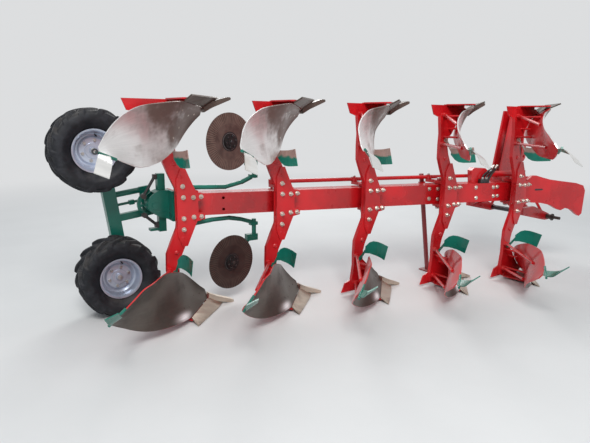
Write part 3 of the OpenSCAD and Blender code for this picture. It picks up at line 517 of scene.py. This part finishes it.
def scoured(name, bright, film, amount, flow, rough, lean=0.0, worn=None, shade_above_beam=False):
    """Bright steel with streaks along the flow, under a thin film of brown in clouds.

    On a board the clouds grow by lean times (1.2 - u - 0.6 v), so they gather at the share and the shin.
    Around the place (u, v) = worn a painted highlight is laid on: a bright patch of colour with less metal in
    it, standing for the sky's reflection. With d the distance from it, u counted 5 times and v 12 times, the
    highlight falls from 1 to 0 as d goes from 0 to 1.
    With the last flag set, steel above the beam gets painted shade: from 1 m up the film's dark colour is
    painted over it, for the upper shares, which face down into shade.
    """
    m, tree, shader = material(name)
    tex = node(tree, "ShaderNodeTexCoord")
    where = tex.outputs["UV"] if flow else tex.outputs["Object"]
    marks = shared(tree, scour, {"Vector": where, "Stretch": 22.0 if flow else 9.0})
    patches = marks["Patch"]
    if lean:
        over = vector_step(tree, "DOT_PRODUCT", where, (-lean, -0.6 * lean, 0.0))["Value"]
        patches = times(tree, times(tree, patches, over, "ADD"), 1.2 * lean, "ADD")
    cloud = ramp(tree, patches, 0.60 - 0.3 * amount, 0.86 - 0.3 * amount)
    # Painted shade: from 1 m up, the film's dark colour covers the steel, for the upper shares that face down
    # into shade.
    if shade_above_beam:
        painted_shade_above = ramp(tree, height_of(tree, tex.outputs["Object"]), 1.0, 1.1, 0.0, 0.9)
        cloud = times(tree, cloud, painted_shade_above, "MAXIMUM")
    lines = ramp(tree, marks["Streak"], 0.3, 0.7)
    base = blend_colour(tree, lines, opaque(bright, 0.9), opaque(bright))
    base = blend_colour(tree, cloud, base, opaque(film))
    metallic = ramp(tree, cloud, 0.0, 1.0, 0.95, 0.62)
    # Painted highlight: around the place worn a bright colour is painted in and the metal lowered, for the
    # sky's reflection on the lower boards.
    if worn:
        away = (-5.0 * worn[0], -12.0 * worn[1], 0.0)
        far = length(tree, vector_step(tree, "MULTIPLY_ADD", where, (5.0, 12.0, 0.0), away)[0])
        painted_highlight = times(tree, ramp(tree, far, 0.0, 1.0, 1.0, 0.0), ramp(tree, lines, 0.0, 1.0, 0.85, 1.0))
        painted_highlight = times(tree, painted_highlight, 1.7, "POWER")
        base = blend_colour(tree, painted_highlight, base, PAINTED_HIGHLIGHT_COLOUR)
        metallic = times(tree, metallic, ramp(tree, painted_highlight, 0.0, 1.0, 1.0, 0.35))
    feed(tree, shader, {"Base Color": base, "Metallic": metallic,
                        "Roughness": ramp(tree, marks["Patch"], 0.3, 0.8, rough, rough + 0.22),
                        "Normal": bump(tree, marks["Height"], 0.12, 0.0005)})
    return m


LOW_STEEL, LOW_FILM = (0.165, 0.145, 0.128), (0.062, 0.052, 0.044)
BOARD_FRONT = scoured("scoured_board", (0.95, 0.94, 0.93), (0.205, 0.145, 0.125), 0.38, True, 0.34, lean=0.34)
# The lower boards carry a painted highlight near the share, around (u, v) = (0.47, 0.03).
BOARD_LOW = scoured("scoured_board_low", LOW_STEEL, LOW_FILM, 0.75, True, 0.33, lean=-0.16, worn=(0.47, 0.03))
# The shares above the beam are darkened by painted shade.
SHARE_STEEL = scoured("scoured_share", (0.64, 0.55, 0.455), (0.085, 0.063, 0.053), 0.42, False, 0.34,
                      shade_above_beam=True)
WORN_HEAD = scoured("scoured_head", LOW_STEEL, LOW_FILM, 0.6, False, 0.34)
BARE_STEEL = scoured("bare_steel", (0.55, 0.54, 0.52), (0.30, 0.24, 0.18), 0.3, False, 0.3)
DARK_STEEL = scoured("dark_steel", (0.085, 0.085, 0.09), (0.10, 0.075, 0.06), 0.4, False, 0.42)
ZINC = scoured("zinc_plate", (0.70, 0.66, 0.60), (0.46, 0.38, 0.30), 0.35, False, 0.3)

# %% [markdown]
# ## Rubber
# Tyre rubber is nearly black and quite rough, with grey dust rubbed into it. Hoses are the same rubber, a
# little smoother and cleaner.

# %% Rubber finishes
def rubber(name, colour, dirt, rough):
    """Dark rubber, greyer in clouds, with dust on what faces up and a fine grain."""
    m, tree, shader = material(name)
    coords = node(tree, "ShaderNodeTexCoord").outputs["Object"]
    settled = shared(tree, dust, {"Amount": dirt})["Dust"]
    cloud = noise(tree, coords, 14.0, 5.0, 0.65)
    grey = opaque([c * 2.1 + 0.01 for c in colour])
    base = blend_colour(tree, ramp(tree, cloud, 0.4, 0.75), opaque(colour), grey)
    base = blend_colour(tree, settled, base, (0.20, 0.175, 0.15, 1.0))
    feed(tree, shader, {"Base Color": base, "Specular IOR Level": 0.28,
                        "Roughness": ramp(tree, cloud, 0.3, 0.7, rough - 0.08, rough + 0.1),
                        "Normal": bump(tree, noise(tree, coords, 320.0, 2.0), 0.2, 0.0004)})
    return m


TYRE = rubber("tyre_rubber", (0.0075, 0.0085, 0.0115), 0.22, 0.56)
HOSE = rubber("hose_rubber", (0.012, 0.012, 0.014), 0.2, 0.45)

# %% [markdown]
# ## Disc coulters
# A plain, notched or rippled disc cuts the edge of the furrow. These have fine ripples round the outer part
# and are brown with surface rust, the lower one darker. The ripples are too fine for geometry: distance and
# angle from the disc's middle give a wave, which feeds the bump and a slight change of colour. The dark plate
# over the hub and the lighter ring on it come from the distance alone. Each disc has its own middle and tone,
# so each has its own material.

# %% Disc finish
RIPPLES = 72.0
RUST_DARK, RUST_LIGHT, RIPPLE_CREST = (0.075, 0.046, 0.041), (0.135, 0.083, 0.070), (0.27, 0.19, 0.145, 1.0)
HUB_PLATE, HUB_RING = (0.024, 0.020, 0.020, 1.0), (0.22, 0.19, 0.19, 1.0)


def rusty_disc(name, middle, tone):
    """Brown rust times a tone. With r and a the distance and angle from the middle, the ripple is sin(72 a)
    beyond r = 0.16. The disc is turned by t out of the line of travel, so x cos t + y sin t is along it."""
    m, tree, shader = material(name)
    coords = node(tree, "ShaderNodeTexCoord").outputs["Object"]
    away = vector_step(tree, "SUBTRACT", coords, middle)[0]
    split = node(tree, "ShaderNodeSeparateXYZ", {"Vector": away})
    x = times(tree, times(tree, split.outputs["X"], math.cos(DISC_TURN)),
              times(tree, split.outputs["Y"], math.sin(DISC_TURN)), "ADD")
    z = split.outputs["Z"]
    r = times(tree, times(tree, times(tree, x, x), times(tree, z, z), "ADD"), 0.5, "POWER")
    a = times(tree, z, x, "ARCTAN2")
    wave = times(tree, times(tree, a, RIPPLES), 0.0, "SINE")
    ripple = times(tree, wave, ramp(tree, r, 0.150, 0.168))
    cloud = noise(tree, coords, 16.0, 6.0, 0.65)
    base = blend_colour(tree, ramp(tree, cloud, 0.3, 0.7), opaque(RUST_DARK, tone), opaque(RUST_LIGHT, tone))
    base = blend_colour(tree, ramp(tree, ripple, -0.2, 0.9, 0.0, 0.45 * tone), base, RIPPLE_CREST)
    base = blend_colour(tree, ramp(tree, r, 0.084, 0.089, 1.0, 0.0), base, HUB_PLATE)
    edge = times(tree, ramp(tree, r, 0.071, 0.073), ramp(tree, r, 0.076, 0.078, 1.0, 0.0))
    base = blend_colour(tree, times(tree, edge, 0.6 * tone), base, HUB_RING)
    height = times(tree, times(tree, ripple, 0.8), times(tree, cloud, 0.5), "ADD")
    feed(tree, shader, {"Base Color": base, "Metallic": 0.35, "Normal": bump(tree, height, 0.5, 0.0012),
                        "Roughness": ramp(tree, cloud, 0.3, 0.7, 0.42, 0.66)})
    return m


DISC_LOW = rusty_disc("rusty_disc_low", tuple(row(disc_low)), 0.45)
DISC_HIGH = rusty_disc("rusty_disc_high", tuple(row(disc_high)), 1.0)

# %% [markdown]
# ## Finishes for the solids
# Every solid of the CAD model keeps its mesh and gets a finish in its material slots. The names of the
# solids say what they are, so a short table of beginnings is enough.

# %% Dress the solids
DRESS = {("mast", "headstock", "top_link", "swing_frame", "main_beam", "front_lever", "swing_ram", "link_rod",
          "stand_socket"): RED,
         ("leg", "shanks"): RED_WORN, ("parking_stand",): DARK_RED, ("trash",): GREEN_RUBBED,
         ("rear_bracket", "disc_arms", "wheel_arms"): GREEN, ("rim",): SILVER, ("tyre",): TYRE,
         ("mouldboards",): BOARD_FRONT, ("shares",): SHARE_STEEL,
         ("cross_shaft", "turnover_shaft", "turnover_cylinder", "hose_rack", "adjusting"): DARK_STEEL,
         ("disc_lower",): DISC_LOW, ("disc_upper",): DISC_HIGH}
for name, obj in frame["nodes"].items():
    finish = next(m for starts, m in DRESS.items() if name.startswith(starts))
    if obj.material_slots:
        for s in obj.material_slots:
            s.material = finish
    else:
        obj.data.materials.append(finish)
print("dressed", len(frame["nodes"]), "solids in", len(DRESS), "finishes")

# %% [markdown]
# ## Mouldboards
# A mouldboard lifts the furrow slice, rolls it over and lays it down, so it is a twisted sheet. In the yard
# it is seen from its bright front, and from its painted back on the bodies near the tractor. It could be
# sculpted, but a table does it better: for sections square to the line of travel it gives both edges and how
# hollow the middle is, and smooth curves through the table give a fine grid. The sheet gets its thickness
# from its own normals. The upper board is the same one with its height turned over.

# %% Mouldboards
BOARD = np.array([
    [190, -39, 97, 24, 156, 6], [145, -86, 90, 22, 195, 14], [60, -172, 76, 2, 280, 30],
    [-20, -252, 63, -62, 355, 44], [-70, -303, 57, -120, 395, 52], [-135, -352, 59, -203, 433, 60],
    [-215, -402, 65, -292, 468, 66], [-300, -446, 75, -386, 497, 70], [-385, -480, 85, -496, 507, 70],
    [-470, -507, 101, -604, 509, 66], [-560, -547, 136, -680, 501, 56], [-640, -594, 183, -745, 469, 42],
    [-720, -668, 246, -800, 432, 24], [-790, -768, 312, -838, 401, 8], [-828, -826, 352, -856, 392, 2]])
BOARD_T, GRID_LONG, GRID_TALL = 9.0, 61, 21
UP = np.array([0.0, 0.0, 1.0])
FLIP = np.array([1.0, 1.0, -1.0])


def board_section(x, t):
    """At x ahead of the leg and a way t from the lower to the upper edge: both edges blended by t, with the
    side hollowed by 4t(1-t) times the section's hollow. The table's rows are x, then side and height of the
    lower edge, side and height of the upper edge, and hollow."""
    r = smooth(-BOARD[:, 0], BOARD, -np.atleast_1d(x))[:, None]
    t = np.asarray(t, float)[None, :]
    side = r[..., 1] + (r[..., 3] - r[..., 1]) * t + r[..., 5] * 4 * t * (1 - t)
    height = r[..., 2] + (r[..., 4] - r[..., 2]) * t - BEAM_RISE
    return np.stack([r[..., 0] + 0 * t, side, height], -1)


def board_at(x, h):
    """A point on the board at x and at a height h over the ground."""
    edge = board_section(x, [0.0, 1.0])[0] + BEAM_RISE * UP
    return board_section(x, [(h - edge[0, 2]) / (edge[1, 2] - edge[0, 2])])[0, 0]


long_way, tall_way = np.linspace(0, 1, GRID_LONG), np.linspace(0, 1, GRID_TALL)
board_grid = board_section(np.interp(long_way, np.linspace(0, 1, len(BOARD)), BOARD[:, 0]), tall_way)
flow = np.stack(np.broadcast_arrays(1.3 * long_way[:, None], 0.5 * tall_way), -1)
print("board grid", board_grid.shape[:2], "spans", np.ptp(board_grid.reshape(-1, 3), axis=0).round())


def add_sheet(parts, grid, thickness, body, skins, uv=None, flip=False):
    """Adds a sheet of the drawing to a piece, or its mirror image above the beam."""
    if flip:
        grid = (grid * FLIP)[:, ::-1]
        uv = None if uv is None else uv[:, ::-1]
    points, faces, side = sheet(grid, thickness)
    if uv is not None:
        uv = np.tile(uv.reshape(-1, 2), (2, 1))
    parts.add((row(points, body), faces), np.asarray(skins)[side], uv)


for i in BODIES:
    parts = Gather()
    add_sheet(parts, board_grid, BOARD_T, i, (1, 2, 2), flow)
    add_sheet(parts, board_grid, BOARD_T, i, (0, 2, 0), flow, flip=True)
    board = make(f"boards_{i}", parts, f"furrow_{i}", [BOARD_FRONT, BOARD_LOW, RED_WORN], 50.0)
    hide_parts(f"mouldboards_{i}")

# %% [markdown]
# ## Tail plates, stays and lugs
# Behind each board a small plate carries on its curve, bright on the upper boards and green on the lower
# ones, held by a rod, and stays and lugs tie the board to the leg. They are short sheets and pipes. The ends
# of the stays and lugs come from the same table as the board, so that they meet it wherever it curves.

# %% Tail plates and stays
TAIL = np.array([[[-826, -848, 386], [-768, -826, 408]], [[-866, -952, 405], [-789, -965, 446]],
                 [[-914, -1050, 486], [-834, -1072, 521]]], float) - BEAM_RISE * UP
tail_edges = smooth(np.arange(3.0), TAIL.reshape(3, -1), np.linspace(0, 2, 13)).reshape(13, 2, 3)
inner, outer = tail_edges[:, :1], tail_edges[:, 1:]
tail_grid = inner + (outer - inner) * np.linspace(0, 1, 5)[None, :, None]
TAIL_BRIGHT = scoured("scoured_tail", (0.86, 0.85, 0.83), (0.45, 0.38, 0.3), 0.1, False, 0.3)
TAIL_T = 8.0
LUGS_AT = [(-60, 256), (-120, 136), (-130, 336)]
STAYS = [(-150, 126, -540, 206), (-150, 404, -600, 404)]
TAIL_ROD, EYE_MIDDLE = [(-862, -902, -556), (-727, -803, -500)], (-872, -909, 560)
LUG_D, STAY_D, BOSS_D, TAIL_ROD_D = 20, 26, 46, 20
LUG_BEHIND, STAY_BEHIND = 11.8, 22.0
BOSS_TALL, STAY_DEEP = 32, 20
EYE_RING = np.array([(9, -5), (19, -5), (19, 5), (9, 5)]) / 1000


def rod(parts, a, b, d, body, flip, skin=0):
    """A straight round bar of diameter d from a to b on the drawing, or mirrored above the beam."""
    a, b = np.array([a, b], float) * (FLIP if flip else 1.0)
    parts.add(pipe(row(a + (b - a) * np.linspace(0, 1, 3)[:, None], body), d / 2000.0), skin)


for i in BODIES:
    tails, bars = Gather(), Gather()
    for flip in (False, True):
        add_sheet(tails, tail_grid, TAIL_T, i, (0, 1, 0) if flip else (1, 1, 1), flip=flip)
        for x, h in LUGS_AT:
            z = h - BEAM_RISE
            rod(bars, (x, board_at(x, h)[1] + LUG_BEHIND, z), (x, LEG_SIDE, z), LUG_D, i, flip)
        for x, h, x1, h1 in STAYS:
            z, end = h - BEAM_RISE, (x1, board_at(x1, h1)[1] + STAY_BEHIND, h1 - BEAM_RISE)
            rod(bars, (x, LEG_SIDE - BOSS_TALL, z), (x, LEG_SIDE, z), BOSS_D, i, flip)
            rod(bars, (x, LEG_SIDE - STAY_DEEP, z), end, STAY_D, i, flip)
        rod(bars, *TAIL_ROD, TAIL_ROD_D, i, flip, skin=1)
        if flip and i == 1:
            bars.at(looped(about_z(EYE_RING, 32)), row(EYE_MIDDLE, i), TO_CAMERA_SIDE, skin=2)
    make(f"tail_plates_{i}", tails, f"furrow_{i}", [TAIL_BRIGHT, GREEN], 40.0)
    make(f"board_stays_{i}", bars, f"furrow_{i}", [RED_WORN, GREEN, DARK_STEEL])

# %% [markdown]
# ## Bolts
# Nothing tells the size of a machine like its bolts. Each leg bracket has eight with hexagon heads, on
# washers and with the ends of their threads standing proud. The leg bars have round red heads, and the board
# is held by flush ones that the soil wears with it. Each kind of head is made once and copied by numbers.

# %% Bolts of the legs and boards
WASHER_T, NUT_T, NEARBY = 4, 16, 4
hexagon, small_hexagon = bolt(30, 14), bolt(24, 11)
washer, stub, flush_head = slug(21, WASHER_T), slug(8, 20), slug(9, 1.2, 0.5)
round_head = turned(np.array([(0, -2), (22, -2), (22, 3), (18, 9), (10, 13), (0, 14)]) / 1000, 24)
LEG_BOLTS = [(-8, 188), (-5, 92), (85, 86), (157, 88), (-6, -92), (85, -86), (157, -88), (-8, -188)]
THROUGH = [0, 3, 6, 7]
BAR_BOLTS = [(-19, -263), (-76, -386)]
BOARD_BOLTS = [(110, 150), (40, 160), (-60, 256), (-120, 136), (-130, 336), (-60, 120)]
for i in BODIES:
    heads = Gather()
    at = np.array([(x, BRACKET_SIDE, z) for x, z in LEG_BOLTS])
    for part, proud in ((washer, 0), (hexagon, WASHER_T), (stub, NUT_T)):
        heads.at(part, row(at - [0, proud, 0], i), TO_CAMERA_SIDE)
    back = at[THROUGH] * [1, -1, 1]
    for part, proud in ((washer, 0), (hexagon, WASHER_T)):
        heads.at(part, row(back + [0, proud, 0], i), (0, 1, 0))
    for flip, worn in ((1.0, 1), (-1.0, 2)):
        for x, h in BOARD_BOLTS:
            here, along, upward = board_at(x, h), board_at(x - NEARBY, h), board_at(x, h + NEARBY)
            out = np.cross(upward - here, along - here) * [1, 1, flip]
            heads.at(flush_head, row(here * [1, 1, flip], i), out, skin=worn)
        on_bar = np.array([(x, LEG_SIDE, z * flip) for x, z in BAR_BOLTS])
        heads.at(round_head, row(on_bar, i), TO_CAMERA_SIDE, skin=3)
    make(f"leg_bolts_{i}", heads, f"furrow_{i}", [ZINC, WORN_HEAD, ZINC, RED], 30.0)
print("bolt heads on each body:", len(LEG_BOLTS) + len(THROUGH) + 2 * len(BAR_BOLTS + BOARD_BOLTS))

# %% [markdown]
# ## Tyres
# A farm tyre is a soft round section with bars of rubber that lean back from the middle of the tread to the
# shoulders. The solid only has a few faces for each bar. Here the whole tyre is one formula: the radius at a
# place across the tread and an angle round the wheel is the section's radius, plus the height of a bar where
# that place falls within one. The bars of the left half stand half a step before those of the right half.

# %% Tyres
TYRE_D, TYRE_W, LUG_H, LUGS = 680.0, 320.0, 22.0, 14
ROWS_ACROSS, COLUMNS_PER_LUG = 97, 26
SWEEP, LUG_HALF, LUG_EDGE = 2.2, 0.205, 0.075
HALF_SECTION = np.array([
    [-0.305, 163.5, 0], [-0.325, 177.5, 0], [-0.385, 194, 0], [-0.45, 217.6, 0], [-0.492, 242, 0.02],
    [-0.5, 261.8, 0.05], [-0.494, 284, 0.22], [-0.476, 300, 0.55], [-0.44, 312, 0.92], [-0.36, 316.5, 1],
    [-0.24, 318, 1], [-0.06, 318.6, 1]])
SECTION = np.concatenate([HALF_SECTION, [[0, 318.6, 0.15]], HALF_SECTION[::-1] * [-1, 1, 1]])


def tyre_surface(centre):
    """Radius q(w, a) = section radius at w + bar height at w times the bar mask. The mask falls from 1 to 0
    between 0.13 and 0.205 of a step from the bar's middle, and the middle moves on with the distance from
    the tread's middle. The point is (q cos a, w, q sin a). The table gives w, radius and share of the bar.
    """
    along = np.linspace(0, len(SECTION) - 1, ROWS_ACROSS)
    w, r, bar = smooth(np.arange(float(len(SECTION))), SECTION, along).T
    w = np.clip(w, -0.5, 0.5)
    count = LUGS * COLUMNS_PER_LUG
    a = even_angles(count)
    step = a[None] * LUGS / (2 * np.pi) - SWEEP * np.abs(w)[:, None]
    middle = np.where(w < 0, 1 / 12, 7 / 12)[:, None]
    off = np.abs((step - middle + 0.5) % 1.0 - 0.5)
    f = np.clip((LUG_HALF - off) / LUG_EDGE, 0, 1)
    q = r[:, None] + np.clip(bar, 0, 1)[:, None] * LUG_H * f * f * (3 - 2 * f)
    q = np.minimum(q, TYRE_D / 2)
    across = np.broadcast_to((w * TYRE_W)[:, None], q.shape)
    points, faces = looped(np.stack([q * np.cos(a), across, q * np.sin(a)], 2))
    return row(points + centre), faces


WHEELS = {"lower": ("wheel_low", np.array([-512.752, 270.0, -598.0])),
          "upper": ("wheel_high", np.array([-654.469, 270.0, 493.16]))}
for name, (body, centre) in WHEELS.items():
    low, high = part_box(f"tyre_{name}")
    print(name, "tyre middle", np.mean([low, high], 0).round(4), "by the drawing", row(centre).round(4))
    rubber_tyre = make(f"lugged_tyre_{name}", Gather().add(tyre_surface(centre)), body, [TYRE], 42.0)
    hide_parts(f"tyre_{name}")

# %% [markdown]
# ## Wheel centres
# The dished wheel is held by six nuts round a hub with a bright cap, and a valve stands in its dish. All are
# turned shapes that stand on the outside of the dish, towards the camera.

# %% Wheel nuts, hub caps and valves
WHEEL_NUTS, FIRST_NUT, NUT_CIRCLE = 6, 0.3, 84.0
DISH_SIDE, CAP_SIDE, CAP_TALL, THIN_WASHER = -35.2, -62.0, 15, 3
hub_cap = turned(np.array([(0, -2), (21, -2), (21, 10), (19, 13), (10, 15), (0, 15.5)]) / 1000)
for name, (body, centre) in WHEELS.items():
    parts = Gather()
    a = even_angles(WHEEL_NUTS, FIRST_NUT)
    round_hub = centre + np.stack([NUT_CIRCLE * np.cos(a), 0 * a + DISH_SIDE, NUT_CIRCLE * np.sin(a)], 1)
    parts.at(slug(14, THIN_WASHER), row(round_hub), TO_CAMERA_SIDE)
    parts.at(bolt(19, 12), row(round_hub - [0, THIN_WASHER, 0]), TO_CAMERA_SIDE)
    parts.at(hub_cap, row(centre + [0, CAP_SIDE, 0]), TO_CAMERA_SIDE)
    parts.at(bolt(17, 5), row(centre + [0, CAP_SIDE - CAP_TALL, 0]), TO_CAMERA_SIDE)
    parts.at(slug(5, 34, 1.5, 14), row(centre + [26, -20, 126]), (0.25, -1, -0.4), skin=1)
    make(f"wheel_nuts_{name}", parts, body, [BARE_STEEL, HOSE], 30.0)
print("wheel nuts made")

# %% [markdown]
# A dark plate over each disc's hub is held by six small bolts, with the big nut of the axle in their middle.
# They are heads as before, set in the disc's own plane and riding on the disc, so that they turn with it.

# %% Bolts of the discs
DISC_BOLTS, FIRST_BOLT, BOLT_CIRCLE = 6, 0.2, 50
PLATE_SIDE, AXLE_SIDE = 22.0, 32.0
for name, place in (("low", disc_low), ("high", disc_high)):
    parts = Gather()
    a = even_angles(DISC_BOLTS, FIRST_BOLT)[:, None]
    in_disc = np.array([math.cos(DISC_TURN), math.sin(DISC_TURN), 0.0])
    out = np.array([math.sin(DISC_TURN), -math.cos(DISC_TURN), 0.0])
    on_hub = PLATE_SIDE * out + BOLT_CIRCLE * np.cos(a) * in_disc + BOLT_CIRCLE * np.sin(a) * UP
    parts.at(bolt(17, 9), row(place + on_hub), out)
    parts.at(bolt(30, 8), row(place + AXLE_SIDE * out), out)
    make(f"disc_bolts_{name}", parts, f"coulter_{name}", [DARK_STEEL], 30.0)
print("disc bolts made")

# %% [markdown]
# ## Bolts along the beam
# The beam's near face carries the bolts of the front lever and a few plain ones, and the lever itself has a
# long slot for setting the width of the first furrow. A slot that goes nowhere is drawn as what is seen of
# it, a thin dark strip with round ends, half a millimetre in front of the plate.

# %% Bolts on the beam and slot of the lever
BEAM_BOLTS = [(2524, 62), (2625, 58), (2526, -42), (2629, -49), (3099, 58), (3110, -54), (3323, 54),
              (3333, -43), (3374, 57), (3385, -41)]
BEAM_SIDE, LEVER_SIDE = 125.0, 84.2
beam_front = Gather()
s, z = np.array(BEAM_BOLTS, float).T
facing = np.array([-SA, -CA, 0.0])
spots = row(on_beam(s, BEAM_SIDE, z))
beam_front.at(washer, spots, facing)
beam_front.at(small_hexagon, spots + facing * WASHER_T / 1000, facing)
make("beam_bolts", beam_front, "beam", [ZINC], 30.0)


def strip_with_round_ends(s0, s1, c, z, half):
    """Across the strip the height is v times the half width h, shortened near both ends to the circle's
    sqrt(h2 - d2), with d the distance past the end's centre."""
    u = np.linspace(s0, s1, 41)[:, None]
    past = np.clip(np.maximum(s0 + half - u, u - s1 + half), 0, half)
    tall = np.sqrt(np.maximum(half**2 - past**2, 0.16))
    v = np.linspace(-1, 1, 5)[None]
    return on_beam(u + 0 * v, c, z + v * tall)


lever = Gather()
points, faces, _ = sheet(strip_with_round_ends(3850, 3962, LEVER_SIDE, 14.0, 9.0), 0.6)
lever.add((row(points), faces))
make("lever_slot", lever, "beam", [DARK_STEEL], 40.0)
print("beam bolts:", len(BEAM_BOLTS))

# %% [markdown]
# ## Pins on top of the beam
# Each leg turns on a pin through the beam, closed by a big nut above and below, and the levers of the four
# front legs have smaller ones on the link rod. From above these pins are what shows the variable width.

# %% Nuts of the leg pivots and the link rod
NUT_RISE, ROD_RISE, LEVER_REACH = 151, 185, 150
NUT_TALL, NUT_UNDER_THE_LEVER = 16.0, 3.0
for i in BODIES:
    parts = Gather()
    for flip in (1.0, -1.0):
        tall = NUT_UNDER_THE_LEVER if i == 5 and flip > 0 else NUT_TALL
        parts.at(bolt(42, tall), row((PIVOT_FWD, PIVOT_BACK, NUT_RISE * flip), i), (0, 0, flip))
    if i > 1:
        parts.at(bolt(26, 10), row((PIVOT_FWD, PIVOT_BACK + LEVER_REACH, ROD_RISE), i), UP)
    make(f"pivot_nuts_{i}", parts, f"furrow_{i}", [BARE_STEEL], 30.0)
print("pivot nuts made")

# %% [markdown]
# ## Hoses
# Four short hoses rise from the valve block and lean forward into their holder, ready for the tractor. Each
# is a pipe along a gentle curve, with a hexagon fitting at the block and a bright coupling at its end.

# %% Hoses and their block
hoses = Gather()
s0, c0, z0 = SWING_S - 640, PIVOT_C - 52, 100.3
block = np.array([[s0 - 45, c0 - 28, z0], [s0 + 65, c0 + 24, z0 + 42]])


def box_part(parts, low, high, skin, edge=3.0):
    """A block along the beam whose level section is a superellipse of high power, so its corners are soft."""
    a = np.linspace(0, 2 * np.pi, 33)[:-1]
    mid, half = (low + high) / 2, (high - low) / 2
    x = np.sign(np.cos(a)) * np.abs(np.cos(a)) ** 0.18
    y = np.sign(np.sin(a)) * np.abs(np.sin(a)) ** 0.18
    rise = half[2] * np.array([-1.0, -1 + edge / half[2], 1 - edge / half[2], 1.0])[:, None]
    size = np.array([1 - edge / half[0], 1.0, 1.0, 1 - edge / half[0]])[:, None]
    rings = row(on_beam(mid[0] + half[0] * size * x, mid[1] + half[1] * size * y, mid[2] + rise))
    foot, tip = (row(on_beam(mid[0], mid[1], mid[2] + way * half[2])) for way in (-1, 1))
    parts.add(capped(rings, foot, tip), skin)


HOSE_R, FITTING_R, COUPLING_R, LINE = 8.5, 12.5, 12.0, 25
box_part(hoses, block[0], block[1], 1)
for k in range(4):
    c = c0 - 14 + 22 * (k % 2)
    a, b = np.array([s0 - 20 + 24 * k, c, z0 + 38]), np.array([s0 + 112 + 24 * k, c, z0 + 188])
    knots = np.array([a, a + [2, 0, 30], (a + b) / 2 + [-9, 0, 9], b - [22, 0, 26], b])
    line = curve(knots, LINE)
    for start, end, r, sides, skin in ((0, LINE, HOSE_R, 14, 0), (0, 4, FITTING_R, 6, 2),
                                       (19, LINE, COUPLING_R, 20, 2)):
        hoses.add(pipe(row(on_beam(*line[start:end].T)), r / 1000, sides), skin)
holder = np.array([[s0 + 52, z0], [s0 + 84, z0 + 60], [s0 + 150, z0 + 148], [s0 + 180, z0 + 176]])
h_line = curve(np.column_stack([holder[:, 0], np.full(4, c0 - 3.0), holder[:, 1]]), 21)
strap = h_line[:, None] + np.array([[-12.0, 0, 6], [0, 0, 0], [12, 0, -6]])[None]
points, faces, _ = sheet(np.stack([on_beam(*strap[:, k].T) for k in range(3)], 1), 6.0)
hoses.add((row(points), faces), 1)
hose_piece = make("hoses_and_block", hoses, "beam", [HOSE, DARK_STEEL, BARE_STEEL], 40.0)
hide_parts("hose_rack")
print("hoses made, each", round(float(np.linalg.norm(np.diff(line, axis=0), axis=1).sum())), "mm long")

# %% [markdown]
# ## Ground, backdrop and light
# The plough stands on a plain pale floor. The sky lights it from all sides, as on a cloudy day, with one big
# soft lamp high on the camera's side and a weaker one behind. What the camera sees behind the floor is a
# plain pale backdrop, and shiny steel sees it too. The floor fades into it with distance.

# %% Ground and light
PLAIN = {"Color": (0.80, 0.81, 0.82, 1.0), "Strength": 0.90}
FADE_FROM, FADE_TO, FLOOR_HALF = 4.6, 12.0, 60.0


def show(tree, share, most, rest, end):
    """Mixes two shaders, with a share for the second one, and sends the result to the end of the tree."""
    mixed = node(tree, "ShaderNodeMixShader", {0: share, 1: most.outputs[0], 2: rest.outputs[0]})
    feed(tree, tree.nodes[end], {"Surface": mixed.outputs[0]})


def pale_ground(name, colour, rough):
    """A plain floor with a faint cloud in it. From 4.6 m to 12 m from the middle it turns into the backdrop's
    colour, for what the camera and shiny metal see, so that no horizon shows."""
    m, tree, shader = material(name)
    coords = node(tree, "ShaderNodeTexCoord").outputs["Object"]
    cloud = noise(tree, coords, 1.3, 4.0)
    tone = blend_colour(tree, ramp(tree, cloud, 0.3, 0.7), opaque(colour, 0.97), opaque(colour))
    feed(tree, shader, {"Base Color": tone, "Roughness": rough})
    plain = node(tree, "ShaderNodeEmission", PLAIN)
    share = times(tree, ramp(tree, length(tree, coords), FADE_FROM, FADE_TO), seen_directly(tree))
    show(tree, share, shader, plain, "Material Output")
    return m


def seen_directly(tree):
    """1 for what the camera, a reflection or a view through glass sees, and 0 for light that is scattered."""
    rays = node(tree, "ShaderNodeLightPath")
    sharp = times(tree, rays.outputs["Is Camera Ray"], rays.outputs["Is Glossy Ray"], "MAXIMUM")
    return times(tree, sharp, rays.outputs["Is Transmission Ray"], "MAXIMUM")


gx, gy = np.meshgrid(*[np.linspace(-FLOOR_HALF, FLOOR_HALF, 5)] * 2, indexing="ij")
k = np.arange(25).reshape(5, 5)
quads = np.stack([k[:-1, :-1].ravel(), k[1:, :-1].ravel(), k[1:, 1:].ravel(), k[:-1, 1:].ravel()], 1)
mesh = bpy.data.meshes.new("yard_floor")
mesh.from_pydata(np.stack([gx.ravel(), gy.ravel(), np.zeros(25)], 1).tolist(), [], quads.tolist())
mesh.materials.append(pale_ground("pale_floor", (0.66, 0.66, 0.65), 0.85))
yard = put("yard_floor", mesh)

world = bpy.data.worlds.new("cloudy_sky")
bpy.context.scene.world = world
world.use_nodes = True
tree = world.node_tree
sky = tree.nodes["Background"]
feed(tree, sky, {"Color": (0.86, 0.93, 1.0, 1.0), "Strength": 0.55})
show(tree, seen_directly(tree), sky, node(tree, "ShaderNodeBackground", PLAIN), "World Output")


def lamp(name, place, target, size, power):
    """A square soft lamp that looks from its place at the target."""
    data = bpy.data.lights.new(name, "AREA")
    data.shape, data.size, data.energy = "SQUARE", size, power
    put(name, data, frame_on(np.subtract(place, target)), place)


lamp("high_lamp", (-4.0, -6.0, 7.5), (0.0, 0.0, 0.8), 4.0, 750.0)
lamp("far_lamp", (3.0, 7.0, 6.0), (0.0, 0.0, 0.8), 4.0, 320.0)
bpy.context.scene.view_settings.view_transform = "Standard"
